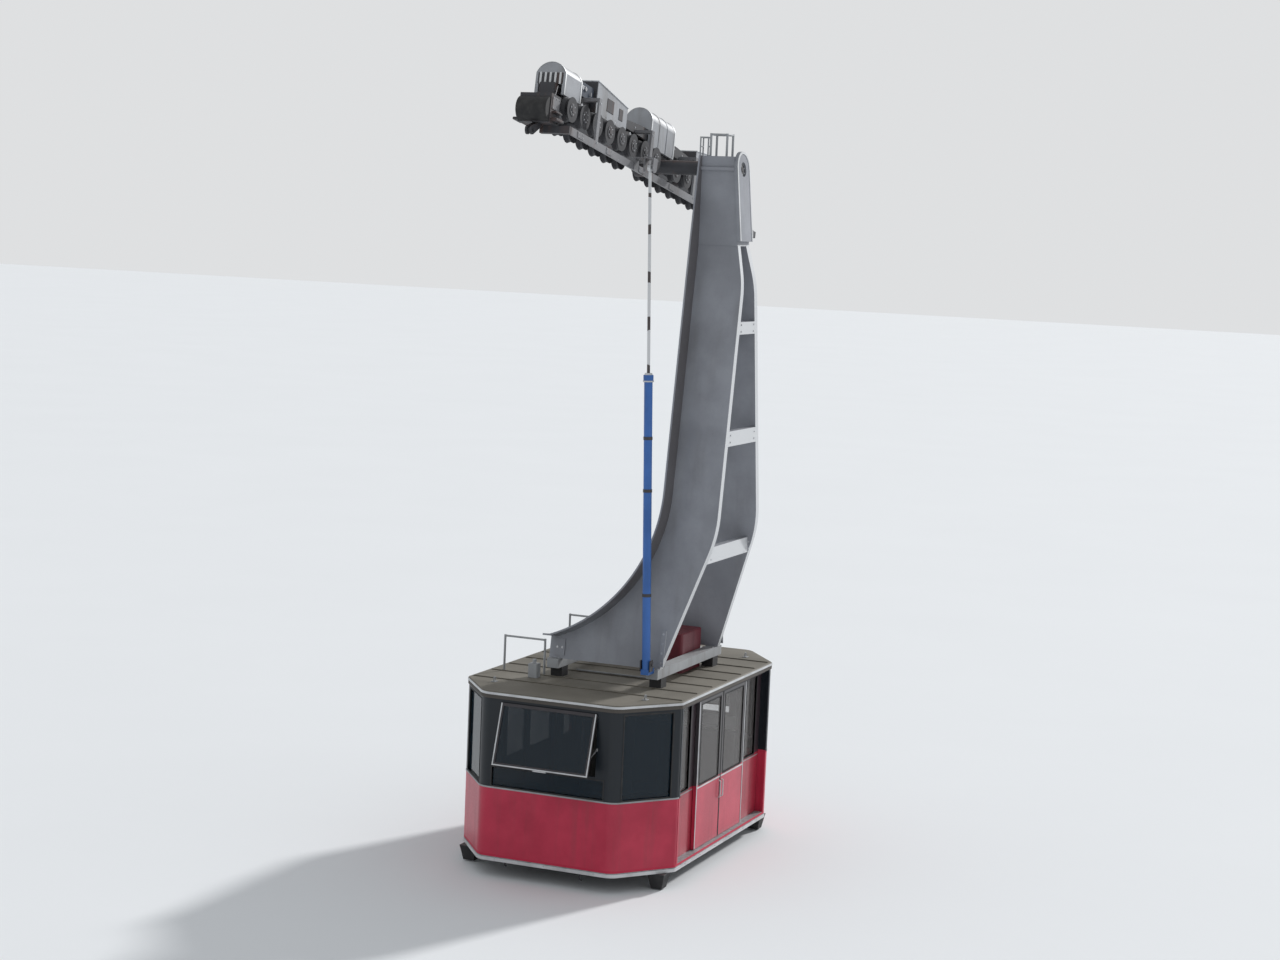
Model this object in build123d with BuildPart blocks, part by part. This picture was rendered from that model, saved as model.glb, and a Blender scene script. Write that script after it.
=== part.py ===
from build123d import *
from math import atan2, cos, hypot, radians, sin, tan
import os

# Cable car cabin of a reversible aerial ropeway: a passenger cabin on an offset two-legged hanger,
# under a carriage of sixteen wheel sets that runs on two track ropes.
# +X points uphill along the line, +Y to the side that the hanger stands on, +Z up, in millimetres.
# The origin lies on the track ropes' centre line, midway between them, below the main pin.

# Ropes and slope
rope_spacing = 550.0
rope_diameter = 50.0
rope_pitch = 10.0

# Clearances
running_clearance = 0.05
seat_clearance = 0.3
pin_clearance = 0.3
moving_clearance = 8.0

# Main pin and its bearing
pin_height = 150.0
pin_radius = 80.0
pin_collar_radius = 105.0
pin_collar_length = 30.0
bearing_radius = 150.0

# Wheel sets: a pair of grooved rope wheels on one axle
wheel_sets_per_half = 8
wheel_set_pitch = 440.0
first_wheel_set = 420.0
wheel_rim_radius = 170.0
wheel_width = 100.0
groove_depth = 20.0
axle_radius = 30.0

# Rocker tree: two-axle rockers, four-axle rockers, half beams and the main beam
rocker_half_width = 110.0
rocker_axle_boss = 60.0
rocker_top_height = 300.0
rocker_top_boss = 45.0
four_rocker_gap = 10.0
four_rocker_plate = 25.0
four_rocker_boss = 45.0
four_rocker_top_height = 380.0
rocker_pin_radius = 26.0
half_beam_height = 450.0
half_beam_depth = 110.0
half_beam_boss = 60.0
half_beam_pin_radius = 32.0
main_beam_gap = 10.0
main_beam_plate = 40.0
main_beam_low = 440.0
main_beam_top = 600.0
main_beam_waist = 230.0

# Ends of the carriage
end_gap = 20.0
end_block_length = 300.0
end_block_half_width = 230.0
end_block_top = 290.0
end_block_bottom = -100.0
nose_length = 130.0
nose_half_width = 220.0
nose_low = -90.0
nose_high = 240.0
keeper_beam_outer = 435.0
keeper_beam_low = -200.0
keeper_beam_height = 100.0
keeper_beam_thickness = 30.0
keeper_bracket_stations = (900.0, 2850.0)
keeper_bracket_width = 90.0
keeper_bracket_low = 445.0
keeper_bracket_high = 485.0
outrigger_length = 80.0
clevis_ear = 25.0
clevis_gap = 40.0
clevis_bore_radius = 25.0
clevis_eye_radius = 60.0
clevis_drop = 230.0
clevis_reach = 150.0

# Hoods over the carriage, and the hydraulic units between them
hood_half_width = 215.0
hood_wall = 40.0
hood_skirt = 360.0
end_hood_length = 560.0
end_hood_top = 800.0
end_hood_shoulder = 650.0
end_hood_gap = 90.0
mid_hood_start = 1400.0
mid_hood_length = 1100.0
mid_hood_top = 810.0
mid_hood_low = 690.0
centre_hood_half_length = 470.0
centre_hood_top = 920.0
centre_hood_shoulder = 740.0
unit_gap = 40.0
unit_half_width = 170.0
unit_height = 190.0
unit_corner_radius = 30.0

# Hanger: two legs that aim at the main pin and sweep in over the roof
leg_inner = 950.0
leg_outer = 1700.0
leg_head_outer = 1580.0
leg_bend_radius = 1800.0
leg_web = 120.0
leg_flange = 440.0
leg_flange_thickness = 25.0
leg_spread = 1170.0
leg_sweep_radius = 2360.0
leg_sweep_angle = 70.0
leg_toe = 700.0
leg_toe_height = 330.0
leg_heel = 1050.0
leg_knee_drop = 5250.0
leg_shoulder_drop = 1650.0
head_bottom_drop = 1100.0
head_top_rise = 180.0
head_half_length = 245.0
head_pin_outer = 1480.0
head_plate = 50.0
head_plate_radius = 260.0
head_plate_bore = 105.0
head_flange_top = 330.0
ledge_height = 45.0
ledge_depth = 30.0
tie_depth = 100.0
tie_drops = (2280.0, 3870.0, 5560.0)
tie_heights = (180.0, 220.0, 230.0)
head_rail_height = 330.0
head_rail_half_length = 120.0
head_rail_rows = (1300.0, 1050.0)
rail_post_radius = 17.0
rail_bar_radius = 15.0

# Foot of the hanger
foot_drop = 7210.0
foot_beam_height = 140.0
foot_beam_width = 180.0
foot_beam_half_length = 1300.0
mount_height = 150.0
mount_size = 210.0
mount_station = 1050.0

# Cabin: an elongated octagon with rounded ends and recessed sides
cabin_length = 5400.0
cabin_width = 3340.0
cabin_height = 2450.0
end_facet_width = 2060.0
corner_run = 815.0
nose_bend_radius = 220.0
side_bend_radius = 80.0
wall = 60.0
floor_thickness = 100.0
floor_plate = 40.0
floor_beam = 70.0
pocket_length = 800.0
pocket_width = 820.0
pockets_along = 4
pockets_across = 3
roof_thickness = 100.0
roof_overhang = 15.0
roof_edge_radius = 12.0
recess_depth = 125.0
corner_post = 85.0

# Windows, measured up from the skirt's lower edge
belt_height = 1100.0
window_top = 2300.0
end_window_half_width = 860.0
vent_width = 1470.0
vent_height = 890.0
vent_angle = 17.0
vent_frame = 45.0
vent_thickness = 30.0
corner_window_width = 780.0
side_belt_height = 1050.0
door_post = 270.0
recess_post = 190.0
side_window_top = 2270.0
pane = 8.0

# Doors: two leaves a side, hung outside the wall in the recess
leaf_overlap = 80.0
door_opening_top = 2230.0
door_travel = 800.0
leaf_stop_gap = 20.0
leaf_top = 2290.0
leaf_depth = 47.0
leaf_skin = 25.0
leaf_rib = 60.0
leaf_face_inset = 70.0
leaf_window_start = 95.0
leaf_stile = 115.0
leaf_window_top = 2230.0
leaf_meeting_gap = 6.0
track_wall = 8.0
track_slot = 22.0
carrier_stem = 10.0
carrier_head = 34.0
carrier_height = 20.0
carrier_length = 160.0
carrier_inset = 120.0

# Feet, rails and boxes on the cabin
foot_end_inset = 700.0
foot_side_inset = 190.0
rubber_foot_height = 220.0
rubber_foot_top = 260.0
rubber_foot_taper = 11.5
pole_radius = 17.0
pole_spacing = 1000.0
pole_count = 4
roof_box = (800.0, 640.0, 600.0)
roof_box_centre = (-520.0, 540.0)
roof_box_corner = 40.0
roof_box_edge = 15.0
roof_rail_station = 1170.0
roof_rail_height = 540.0
roof_rail_inset = 220.0
roof_rail_gap = 100.0

# Swing damper between the carriage and the hanger's foot
damper_station = 1450.0
damper_foot_offset = 930.0
damper_eye_offset = 660.0
damper_tube_radius = 60.0
damper_rod_radius = 22.0
damper_tube_length = 4250.0
damper_collar_radius = 72.0
damper_collar_length = 90.0
damper_rod_in_tube = 1500.0
damper_eye_radius = 48.0
damper_eye_bore = 20.0
damper_eye_width = 50.0
damper_fork_gap = 35.0
damper_fork_plate = 15.0
damper_fork_reach = 150.0

os.makedirs("parts", exist_ok=True)


def finish(builder, name):
    """Label one finished piece and write it."""
    builder.part.label = name
    export_step(builder.part, f"parts/{name}.step")


# Planes of the carriage: its side view, and its cross-section at a station along the rope
slope = radians(rope_pitch)
pin_s = pin_height * sin(slope)
pin_t = pin_height * cos(slope)
carriage_origin = Vector(pin_s * cos(slope), 0, pin_s * sin(slope))
side_view = Plane(origin=carriage_origin, x_dir=(cos(slope), 0, sin(slope)), z_dir=(0, -1, 0))


def side_at(y):
    """The carriage's side view through the distance y; extruding it goes towards -Y."""
    return side_view.offset(-y)


def section_at(s):
    """The carriage's cross-section at the station s; extruding it goes uphill."""
    point = side_view.from_local_coords(Vector(s, 0, 0))
    return Plane(origin=point, x_dir=(0, 1, 0), z_dir=(cos(slope), 0, sin(slope)))


# Wheel sets: the rope lies between the two slopes of each groove
groove_slope = atan2(groove_depth, wheel_width / 2)
wheel_axle_height = wheel_rim_radius - groove_depth + rope_diameter / 2 / cos(groove_slope)
wheel_offset = rope_spacing / 2
wheel_inner = wheel_offset - wheel_width / 2
wheel_outer = wheel_offset + wheel_width / 2
wheel_stations = [first_wheel_set + index * wheel_set_pitch for index in range(wheel_sets_per_half)]
all_stations = [-station for station in reversed(wheel_stations)] + wheel_stations

for number, station in enumerate(all_stations, start=1):
    axle_point = side_view.from_local_coords(Vector(station, wheel_axle_height, 0))
    radial = Plane(origin=axle_point, x_dir=(0, 1, 0), z_dir=(1, 0, 0))
    with BuildPart() as wheel_set:
        with BuildSketch(radial):
            with BuildLine():
                Polyline(
                    (0, 0),
                    (0, axle_radius),
                    (wheel_inner, axle_radius),
                    (wheel_inner, wheel_rim_radius),
                    (wheel_offset, wheel_rim_radius - groove_depth),
                    (wheel_outer, wheel_rim_radius),
                    (wheel_outer, 0),
                    close=True,
                )
            make_face()
            mirror(about=Plane.YZ)
        revolve(axis=Axis(axle_point, (0, 1, 0)))
    finish(wheel_set, f"wheel_set_{number:02d}")


def half_centres(count, span):
    """Stations of the pieces that each carry span wheel sets, over both halves."""
    centres = []
    for index in range(count):
        start = first_wheel_set + index * span * wheel_set_pitch
        centres.append(start + (span - 1) * wheel_set_pitch / 2)
    return [-centre for centre in reversed(centres)] + centres


# Two-axle rockers, each a plate casting with a bore for each axle and one for its top pin
with BuildPart() as two_axle_rockers:
    for centre in half_centres(wheel_sets_per_half // 2, 2):
        axles = [(centre + side * wheel_set_pitch / 2, wheel_axle_height) for side in (-1, 1)]
        with BuildSketch(side_at(rocker_half_width)):
            with Locations(*axles):
                Circle(rocker_axle_boss)
            with Locations((centre, rocker_top_height)):
                Circle(rocker_top_boss)
            make_hull()
            with Locations(*axles):
                Circle(axle_radius + running_clearance, mode=Mode.SUBTRACT)
            with Locations((centre, rocker_top_height)):
                Circle(rocker_pin_radius + pin_clearance, mode=Mode.SUBTRACT)
        extrude(amount=2 * rocker_half_width)
finish(two_axle_rockers, "two_axle_rockers")

# Four-axle rockers, each two plates joined by the pins of the rockers below
four_inner = rocker_half_width + four_rocker_gap
four_outer = four_inner + four_rocker_plate
with BuildPart() as four_axle_rockers:
    for centre in half_centres(wheel_sets_per_half // 4, 4):
        pins = [(centre - wheel_set_pitch, rocker_top_height), (centre + wheel_set_pitch, rocker_top_height)]
        for outer in (four_outer, -four_inner):
            with BuildSketch(side_at(outer)):
                with Locations(*pins):
                    Circle(four_rocker_boss)
                with Locations((centre, four_rocker_top_height)):
                    Circle(four_rocker_boss)
                make_hull()
                with Locations((centre, four_rocker_top_height)):
                    Circle(rocker_pin_radius + pin_clearance, mode=Mode.SUBTRACT)
            extrude(amount=four_rocker_plate)
        with BuildSketch(side_at(four_inner)):
            with Locations(*pins):
                Circle(rocker_pin_radius)
        extrude(amount=2 * four_inner)
finish(four_axle_rockers, "four_axle_rockers")

# Half beams, each carrying eight axles and reaching out to the end block
beam_low = half_beam_height - half_beam_depth / 2
beam_high = half_beam_height + half_beam_depth / 2
half_centre = first_wheel_set + (wheel_sets_per_half - 1) * wheel_set_pitch / 2
half_arm = wheel_sets_per_half * wheel_set_pitch / 4
last_wheel_set = wheel_stations[-1]
end_block_start = last_wheel_set + wheel_rim_radius + end_gap
lug_offsets = (-half_arm, half_arm)
with BuildPart() as half_beams:
    for way in (-1, 1):
        inner_end = half_centre - half_arm - half_beam_boss
        with BuildSketch(side_at(rocker_half_width)):
            with Locations((way * (inner_end + end_block_start) / 2, half_beam_height)):
                Rectangle(end_block_start - inner_end, half_beam_depth)
            with Locations((way * (end_block_start - end_gap), (end_block_top + half_beam_height) / 2)):
                Rectangle(2 * end_gap, half_beam_height - end_block_top + half_beam_depth)
            for offset_s in lug_offsets:
                with Locations((way * (half_centre + offset_s), four_rocker_top_height)):
                    Circle(half_beam_boss)
            with Locations((way * half_centre, half_beam_height)):
                Circle(half_beam_pin_radius + pin_clearance, mode=Mode.SUBTRACT)
        extrude(amount=2 * rocker_half_width)
        with BuildSketch(side_at(four_outer)):
            for offset_s in lug_offsets:
                with Locations((way * (half_centre + offset_s), four_rocker_top_height)):
                    Circle(rocker_pin_radius)
        extrude(amount=2 * four_outer)
finish(half_beams, "half_beams")

# Main beam: two plates that straddle the half beams, with the bearing of the main pin between them
main_inner = rocker_half_width + main_beam_gap
main_outer = main_inner + main_beam_plate
with BuildPart() as main_beam:
    for outer in (main_outer, -main_inner):
        with BuildSketch(side_at(outer)):
            with BuildLine():
                Polyline(
                    (-half_centre - half_beam_boss, main_beam_low),
                    (-main_beam_waist * 2, main_beam_low),
                    (-main_beam_waist, pin_t),
                    (main_beam_waist, pin_t),
                    (main_beam_waist * 2, main_beam_low),
                    (half_centre + half_beam_boss, main_beam_low),
                    (half_centre + half_beam_boss, beam_high),
                    (main_beam_waist * 3, main_beam_top),
                    (-main_beam_waist * 3, main_beam_top),
                    (-half_centre - half_beam_boss, beam_high),
                    close=True,
                )
            make_face()
            with Locations((0, pin_t)):
                Circle(bearing_radius)
            with Locations((0, pin_t)):
                Circle(pin_radius + running_clearance, mode=Mode.SUBTRACT)
        extrude(amount=main_beam_plate)
    with BuildSketch(side_at(main_inner)):
        with Locations((0, pin_t)):
            Circle(bearing_radius)
        with Locations((0, pin_t)):
            Circle(pin_radius + running_clearance, mode=Mode.SUBTRACT)
        with Locations((-half_centre, half_beam_height), (half_centre, half_beam_height)):
            Circle(half_beam_pin_radius)
        with Locations((0, main_beam_top - main_beam_plate / 2)):
            Rectangle(main_beam_waist * 6, main_beam_plate)
    extrude(amount=2 * main_inner)
finish(main_beam, "main_beam")

# End blocks: the housings of the rope brakes, between the ropes, with the haul rope's clevis below
with BuildPart() as end_blocks:
    for way in (-1, 1):
        near = section_at(end_block_start if way > 0 else -end_block_start - end_block_length)
        with BuildSketch(near):
            with Locations((0, (end_block_bottom + end_block_top) / 2)):
                Rectangle(2 * end_block_half_width, end_block_top - end_block_bottom)
        extrude(amount=end_block_length)
        near = section_at(end_block_start if way > 0 else -end_block_start - outrigger_length)
        with BuildSketch(near):
            with Locations((keeper_beam_outer / 2, (keeper_beam_low + end_block_bottom) / 2)):
                Rectangle(keeper_beam_outer, end_block_bottom - keeper_beam_low)
        extrude(amount=outrigger_length)
        eye_s = way * (end_block_start + end_block_length + clevis_reach / 2)
        root_s = way * (end_block_start + end_block_length / 2)
        for outer in (clevis_gap / 2 + clevis_ear, -clevis_gap / 2):
            with BuildSketch(side_at(outer)):
                with Locations((eye_s, -clevis_drop)):
                    Circle(clevis_eye_radius)
                with Locations((root_s, end_block_bottom)):
                    Rectangle(end_block_length / 2, 2)
                make_hull()
                with Locations((eye_s, -clevis_drop)):
                    Circle(clevis_bore_radius, mode=Mode.SUBTRACT)
            extrude(amount=clevis_ear)
finish(end_blocks, "end_blocks")

# Rounded rubber noses at both ends
with BuildPart() as end_noses:
    for way in (-1, 1):
        root_s = way * (end_block_start + end_block_length)
        with BuildSketch(side_at(nose_half_width)):
            with BuildLine():
                flat = Line((root_s, nose_low), (root_s, nose_high))
                ThreePointArc(flat @ 1, (root_s + way * nose_length, (nose_low + nose_high) / 2), flat @ 0)
            make_face()
        extrude(amount=2 * nose_half_width)
finish(end_noses, "end_noses")

# Keeper beam along the hanger's side, just below the rope, with gallows brackets over the wheels
strap_middle = (keeper_bracket_high + keeper_beam_low) / 2
with BuildPart() as keeper_beams:
    with BuildSketch(side_at(keeper_beam_outer)):
        with Locations((0, keeper_beam_low + keeper_beam_height / 2)):
            Rectangle(2 * end_block_start, keeper_beam_height)
        for station in keeper_bracket_stations:
            with Locations((-station, strap_middle), (station, strap_middle)):
                Rectangle(keeper_bracket_width, keeper_bracket_high - keeper_beam_low)
    extrude(amount=keeper_beam_thickness)
    bracket_roots = zip(keeper_bracket_stations, (main_outer, rocker_half_width))
    for station, root in bracket_roots:
        with BuildSketch(side_at(keeper_beam_outer)):
            with Locations(*[(way * station, (keeper_bracket_low + keeper_bracket_high) / 2) for way in (-1, 1)]):
                Rectangle(keeper_bracket_width, keeper_bracket_high - keeper_bracket_low)
        extrude(amount=keeper_beam_outer - root)
finish(keeper_beams, "keeper_beams")


def hood_section(s, seat, top, shoulder):
    """Cross-section of a hood: an arched cover with skirts down both sides of the wheels."""
    inner = hood_half_width - hood_wall
    with BuildSketch(section_at(s)) as section:
        with BuildLine():
            ThreePointArc((-hood_half_width, shoulder), (0, top), (hood_half_width, shoulder))
            Polyline(
                (hood_half_width, shoulder),
                (hood_half_width, hood_skirt),
                (inner, hood_skirt),
                (inner, seat),
                (-inner, seat),
                (-inner, hood_skirt),
                (-hood_half_width, hood_skirt),
                (-hood_half_width, shoulder),
            )
        make_face()
    return section.sketch


# End hoods: rounded covers over the outer wheel sets
end_hood_end = end_block_start - end_hood_gap
with BuildPart() as end_hoods:
    for way in (-1, 1):
        start = end_hood_end - end_hood_length if way > 0 else -end_hood_end
        section = hood_section(start, beam_high + seat_clearance, end_hood_top, end_hood_shoulder)
        extrude(section, amount=end_hood_length)
finish(end_hoods, "end_hoods")

# Middle hoods: wedge-shaped covers, tallest at their outer ends, carried by the main beam
main_beam_end = half_centre + half_beam_boss
main_beam_fall = (main_beam_top - beam_high) / (main_beam_end - 3 * main_beam_waist)


def main_beam_edge(s):
    """Height of the main beam's sloping upper edge at a station."""
    return main_beam_top - (s - 3 * main_beam_waist) * main_beam_fall


with BuildPart() as mid_hoods:
    for way in (-1, 1):
        near = mid_hood_start
        far = mid_hood_start + mid_hood_length
        with BuildSketch(side_at(hood_half_width)):
            with BuildLine():
                Polyline(
                    (way * near, hood_skirt),
                    (way * near, mid_hood_low),
                    (way * far, mid_hood_top),
                    (way * far, hood_skirt),
                    close=True,
                )
            make_face()
        extrude(amount=2 * hood_half_width)
        with BuildSketch(side_at(hood_half_width - hood_wall)):
            with BuildLine():
                Polyline(
                    (way * near, hood_skirt),
                    (way * near, main_beam_edge(near) + seat_clearance),
                    (way * main_beam_end, beam_high + seat_clearance),
                    (way * far, beam_high + seat_clearance),
                    (way * far, hood_skirt),
                    close=True,
                )
            make_face()
        extrude(amount=2 * (hood_half_width - hood_wall), mode=Mode.SUBTRACT)
finish(mid_hoods, "mid_hoods")

# Centre hood: a tall rounded cover over the main beam
with BuildPart() as centre_hood:
    seat = main_beam_top + seat_clearance
    section = hood_section(-centre_hood_half_length, seat, centre_hood_top, centre_hood_shoulder)
    extrude(section, amount=2 * centre_hood_half_length)
finish(centre_hood, "centre_hood")

# Hydraulic units of the rope brakes, on the half beams between the hoods
unit_start = mid_hood_start + mid_hood_length + unit_gap
unit_end = end_hood_end - end_hood_length - unit_gap
unit_low = beam_high + seat_clearance
with BuildPart() as hydraulic_units:
    for way in (-1, 1):
        with BuildSketch(side_at(unit_half_width)):
            with Locations((way * (unit_start + unit_end) / 2, unit_low + unit_height / 2)):
                RectangleRounded(unit_end - unit_start, unit_height, unit_corner_radius)
        extrude(amount=2 * unit_half_width)
finish(hydraulic_units, "hydraulic_units")

# Levels of the hanger and the cabin
foot_level = pin_height - foot_drop
head_bottom = pin_height - head_bottom_drop
head_top = pin_height + head_top_rise
roof_top = foot_level - foot_beam_height - mount_height
roof_bottom = roof_top - roof_thickness
cabin_base = roof_top - cabin_height
floor_top = cabin_base + floor_thickness

# Hanger legs: the plane of each leg holds its J-shaped outline and aims at the main pin
lean = atan2(leg_spread, foot_drop)
sweep = radians(leg_sweep_angle)
leg_over = 150.0


def leg_plane(way):
    """The middle plane of a leg: local x is +Y, local y runs up the leg, from the pin."""
    return Plane(origin=(0, 0, pin_height), x_dir=(0, 1, 0), z_dir=(cos(lean), 0, way * sin(lean)))


def down(drop):
    """Place along a leg for a vertical drop below the pin."""
    return -drop / cos(lean)


toe_top = down(foot_drop - leg_toe_height)
leg_top = down(head_bottom_drop) + leg_over
sweep_centre_y = leg_inner - leg_sweep_radius
sweep_height = toe_top + leg_sweep_radius * sin(sweep)


def sweep_point(angle, grow=0.0):
    """A point of the leg's inner curve, where angle 0 is its upper end."""
    radius = leg_sweep_radius + grow
    return (sweep_centre_y + radius * cos(angle), sweep_height - radius * sin(angle))


def leg_web_face(plane):
    """Outline of a leg's web, longer than the leg at both ends."""
    with BuildSketch(plane) as face:
        with BuildLine():
            Line((leg_inner, leg_top), sweep_point(0))
            ThreePointArc(sweep_point(0), sweep_point(sweep / 2), sweep_point(sweep))
            Polyline(
                sweep_point(sweep),
                (-leg_toe, toe_top),
                (-leg_toe, down(foot_drop) - leg_over),
                (leg_heel, down(foot_drop) - leg_over),
                (leg_heel, down(foot_drop)),
                (leg_outer, down(leg_knee_drop)),
                (leg_outer, down(leg_shoulder_drop)),
                (leg_head_outer, down(head_bottom_drop)),
                (leg_head_outer, leg_top),
                (leg_inner, leg_top),
            )
        make_face()
        bends = [v for v in face.vertices() if abs(v.X - leg_outer) < 1]
        fillet(bends, leg_bend_radius)
    return face.sketch


def leg_flange_face(plane):
    """Outline of the wide flange that follows a leg's inner edge."""
    grow = leg_flange_thickness
    with BuildSketch(plane) as face:
        with BuildLine():
            Line((leg_inner, leg_top), sweep_point(0))
            ThreePointArc(sweep_point(0), sweep_point(sweep / 2), sweep_point(sweep))
            Polyline(
                sweep_point(sweep),
                (-leg_toe, toe_top),
                (-leg_toe, toe_top - grow),
                sweep_point(sweep, grow),
            )
            ThreePointArc(sweep_point(sweep, grow), sweep_point(sweep / 2, grow), sweep_point(0, grow))
            Polyline(sweep_point(0, grow), (leg_inner + grow, leg_top), (leg_inner, leg_top))
        make_face()
    return face.sketch


for name, way in (("hanger_leg_uphill", 1), ("hanger_leg_downhill", -1)):
    middle = leg_plane(way)
    with BuildPart() as hanger_leg:
        extrude(leg_web_face(middle), amount=leg_web / 2, both=True)
        extrude(leg_flange_face(middle.offset(-way * leg_web / 2)), amount=way * leg_flange)
        split(bisect_by=Plane.XY.offset(foot_level), keep=Keep.TOP)
        split(bisect_by=Plane.XY.offset(head_bottom), keep=Keep.BOTTOM)
    finish(hanger_leg, name)

# Hanger head: a box between the legs' tops and the pin, with a leaning plate on its outer side
flange_reach = head_bottom_drop * tan(lean) + (leg_flange - leg_web / 2) / cos(lean)
head_lean = atan2(leg_head_outer - head_pin_outer, head_bottom_drop)
head_face = Plane(
    origin=(0, head_pin_outer, pin_height),
    x_dir=(-1, 0, 0),
    z_dir=(0, cos(head_lean), sin(head_lean)),
)
head_plate_length = (head_bottom_drop - head_plate_radius / 4) / cos(head_lean)
with BuildPart() as hanger_head:
    with BuildSketch(Plane.YZ.offset(-head_half_length)):
        with BuildLine():
            Polyline(
                (leg_inner, head_bottom),
                (leg_head_outer, head_bottom),
                (head_pin_outer - head_top_rise * tan(head_lean), head_top),
                (leg_inner, head_top),
                close=True,
            )
        make_face()
    extrude(amount=2 * head_half_length)
    with BuildSketch(head_face):
        with Locations((0, -head_plate_length / 2)):
            Rectangle(2 * head_plate_radius, head_plate_length)
        Circle(head_plate_radius)
    extrude(amount=head_plate)
    with BuildSketch(Plane.XZ.offset(-leg_inner - leg_flange_thickness)):
        with BuildLine():
            Polyline(
                (-flange_reach, head_bottom),
                (flange_reach, head_bottom),
                (head_flange_top, head_top),
                (-head_flange_top, head_top),
                close=True,
            )
        make_face()
    extrude(amount=leg_flange_thickness)
    for way in (-1, 1):
        with BuildSketch(Plane.XZ.offset(-head_pin_outer)):
            with Locations((way * (head_half_length + ledge_depth / 2), pin_height)):
                Rectangle(ledge_depth, ledge_height)
        extrude(amount=head_pin_outer - leg_inner)
    with BuildSketch(Plane.XZ):
        with Locations((0, pin_height)):
            Circle(pin_radius)
    extrude(amount=-2 * leg_outer, mode=Mode.SUBTRACT)
    with BuildSketch(head_face):
        Circle(head_plate_bore)
    extrude(amount=head_plate, mode=Mode.SUBTRACT)
finish(hanger_head, "hanger_head")

# Main pin: fixed in the hanger's head, turning in the main beam's bearing
sleeve_start = main_outer + moving_clearance
pin_end = head_pin_outer + head_plate / 3
with BuildPart() as main_pin:
    for y_end, radius, length in (
        (pin_end, pin_radius, pin_end + sleeve_start),
        (leg_inner, pin_collar_radius, leg_inner - sleeve_start),
        (-sleeve_start, pin_collar_radius, pin_collar_length),
    ):
        with BuildSketch(Plane.XZ.offset(-y_end)):
            with Locations((0, pin_height)):
                Circle(radius)
        extrude(amount=length)
finish(main_pin, "main_pin")


def outer_edge(drop):
    """Distance Y of the legs' outer edge at a drop below the pin."""
    share = max(0.0, (drop - leg_knee_drop) / (foot_drop - leg_knee_drop))
    return leg_outer - share * (leg_outer - leg_heel)


# Cross ties between the legs' outer edges
with BuildPart() as hanger_ties:
    for drop, height in zip(tie_drops, tie_heights):
        high = drop - height / 2
        low = drop + height / 2
        web_gap = leg_web / 2 / cos(lean) + seat_clearance
        with BuildSketch(Plane.XZ.offset(-outer_edge(low))):
            with BuildLine():
                Polyline(
                    (-high * tan(lean) + web_gap, pin_height - high),
                    (high * tan(lean) - web_gap, pin_height - high),
                    (low * tan(lean) - web_gap, pin_height - low),
                    (-low * tan(lean) + web_gap, pin_height - low),
                    close=True,
                )
            make_face()
        extrude(amount=tie_depth)
finish(hanger_ties, "hanger_ties")

# Guard rails on the hanger's head: a cage of four posts
rail_level = head_top + head_rail_height - rail_post_radius
cage_outer, cage_inner = head_rail_rows
with BuildPart() as head_rail:
    with BuildSketch(Plane.XY.offset(head_top)):
        with Locations(*[(x, y) for x in (-head_rail_half_length, head_rail_half_length) for y in head_rail_rows]):
            Circle(rail_post_radius)
    extrude(amount=head_rail_height)
    with BuildSketch(Plane.YZ.offset(-head_rail_half_length)):
        with Locations(*[(y, rail_level) for y in head_rail_rows]):
            Circle(rail_bar_radius)
    extrude(amount=2 * head_rail_half_length)
    with BuildSketch(Plane.XZ.offset(-cage_outer)):
        with Locations((-head_rail_half_length, rail_level), (head_rail_half_length, rail_level)):
            Circle(rail_bar_radius)
    extrude(amount=cage_outer - cage_inner)
finish(head_rail, "head_rail")

# Foot beams under the legs, and the rubber mounts that carry the roof
beam_rows = (leg_heel - foot_beam_width / 2, -leg_toe + foot_beam_width / 2)
with BuildPart() as foot_beams:
    with BuildSketch(Plane.XY.offset(foot_level - foot_beam_height)):
        for row in beam_rows:
            with Locations((0, row)):
                Rectangle(2 * foot_beam_half_length, foot_beam_width)
    extrude(amount=foot_beam_height)
finish(foot_beams, "foot_beams")

with BuildPart() as roof_mounts:
    with BuildSketch(Plane.XY.offset(roof_top)):
        for row in beam_rows:
            with Locations((-mount_station, row), (mount_station, row)):
                Rectangle(mount_size, foot_beam_width)
    extrude(amount=mount_height)
finish(roof_mounts, "roof_mounts")

# Plan of the cabin
corner_rise = (cabin_width - end_facet_width) / 2
corner_facet = hypot(corner_run, corner_rise)
corner_normal = Vector(corner_rise / corner_facet, corner_run / corner_facet, 0)
corner_distance = (corner_rise * cabin_length + corner_run * end_facet_width) / 2 / corner_facet

# Stations along the recessed sides: each opened leaf ends just inside the recess
recess_half_length = cabin_length / 2 - corner_run - corner_post
leaf_width = recess_half_length - door_travel - leaf_stop_gap
door_half_opening = leaf_width - leaf_overlap
side_window_start = door_half_opening + door_post
side_window_end = recess_half_length - recess_post
leaf_window_end = leaf_width - leaf_stile


def cabin_plan(level, inset):
    """The cabin's octagon with rounded corners, taken in by a wall's thickness."""
    half_length = cabin_length / 2 - inset
    half_width = cabin_width / 2 - inset
    reach = corner_distance - inset
    end_y = (reach - corner_normal.X * half_length) / corner_normal.Y
    side_x = (reach - corner_normal.Y * half_width) / corner_normal.X
    quarter = [(half_length, end_y), (side_x, half_width)]
    half = quarter + [(-x, y) for x, y in reversed(quarter)]
    with BuildSketch(Plane.XY.offset(level)) as plan:
        with BuildLine():
            Polyline(*half, *[(-x, -y) for x, y in half], close=True)
        make_face()
        nose = [v for v in plan.vertices() if abs(abs(v.X) - half_length) < 1]
        fillet(nose, nose_bend_radius - inset)
        sides = [v for v in plan.vertices() if abs(abs(v.Y) - half_width) < 1]
        fillet(sides, side_bend_radius - inset)
    return plan.sketch


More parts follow.
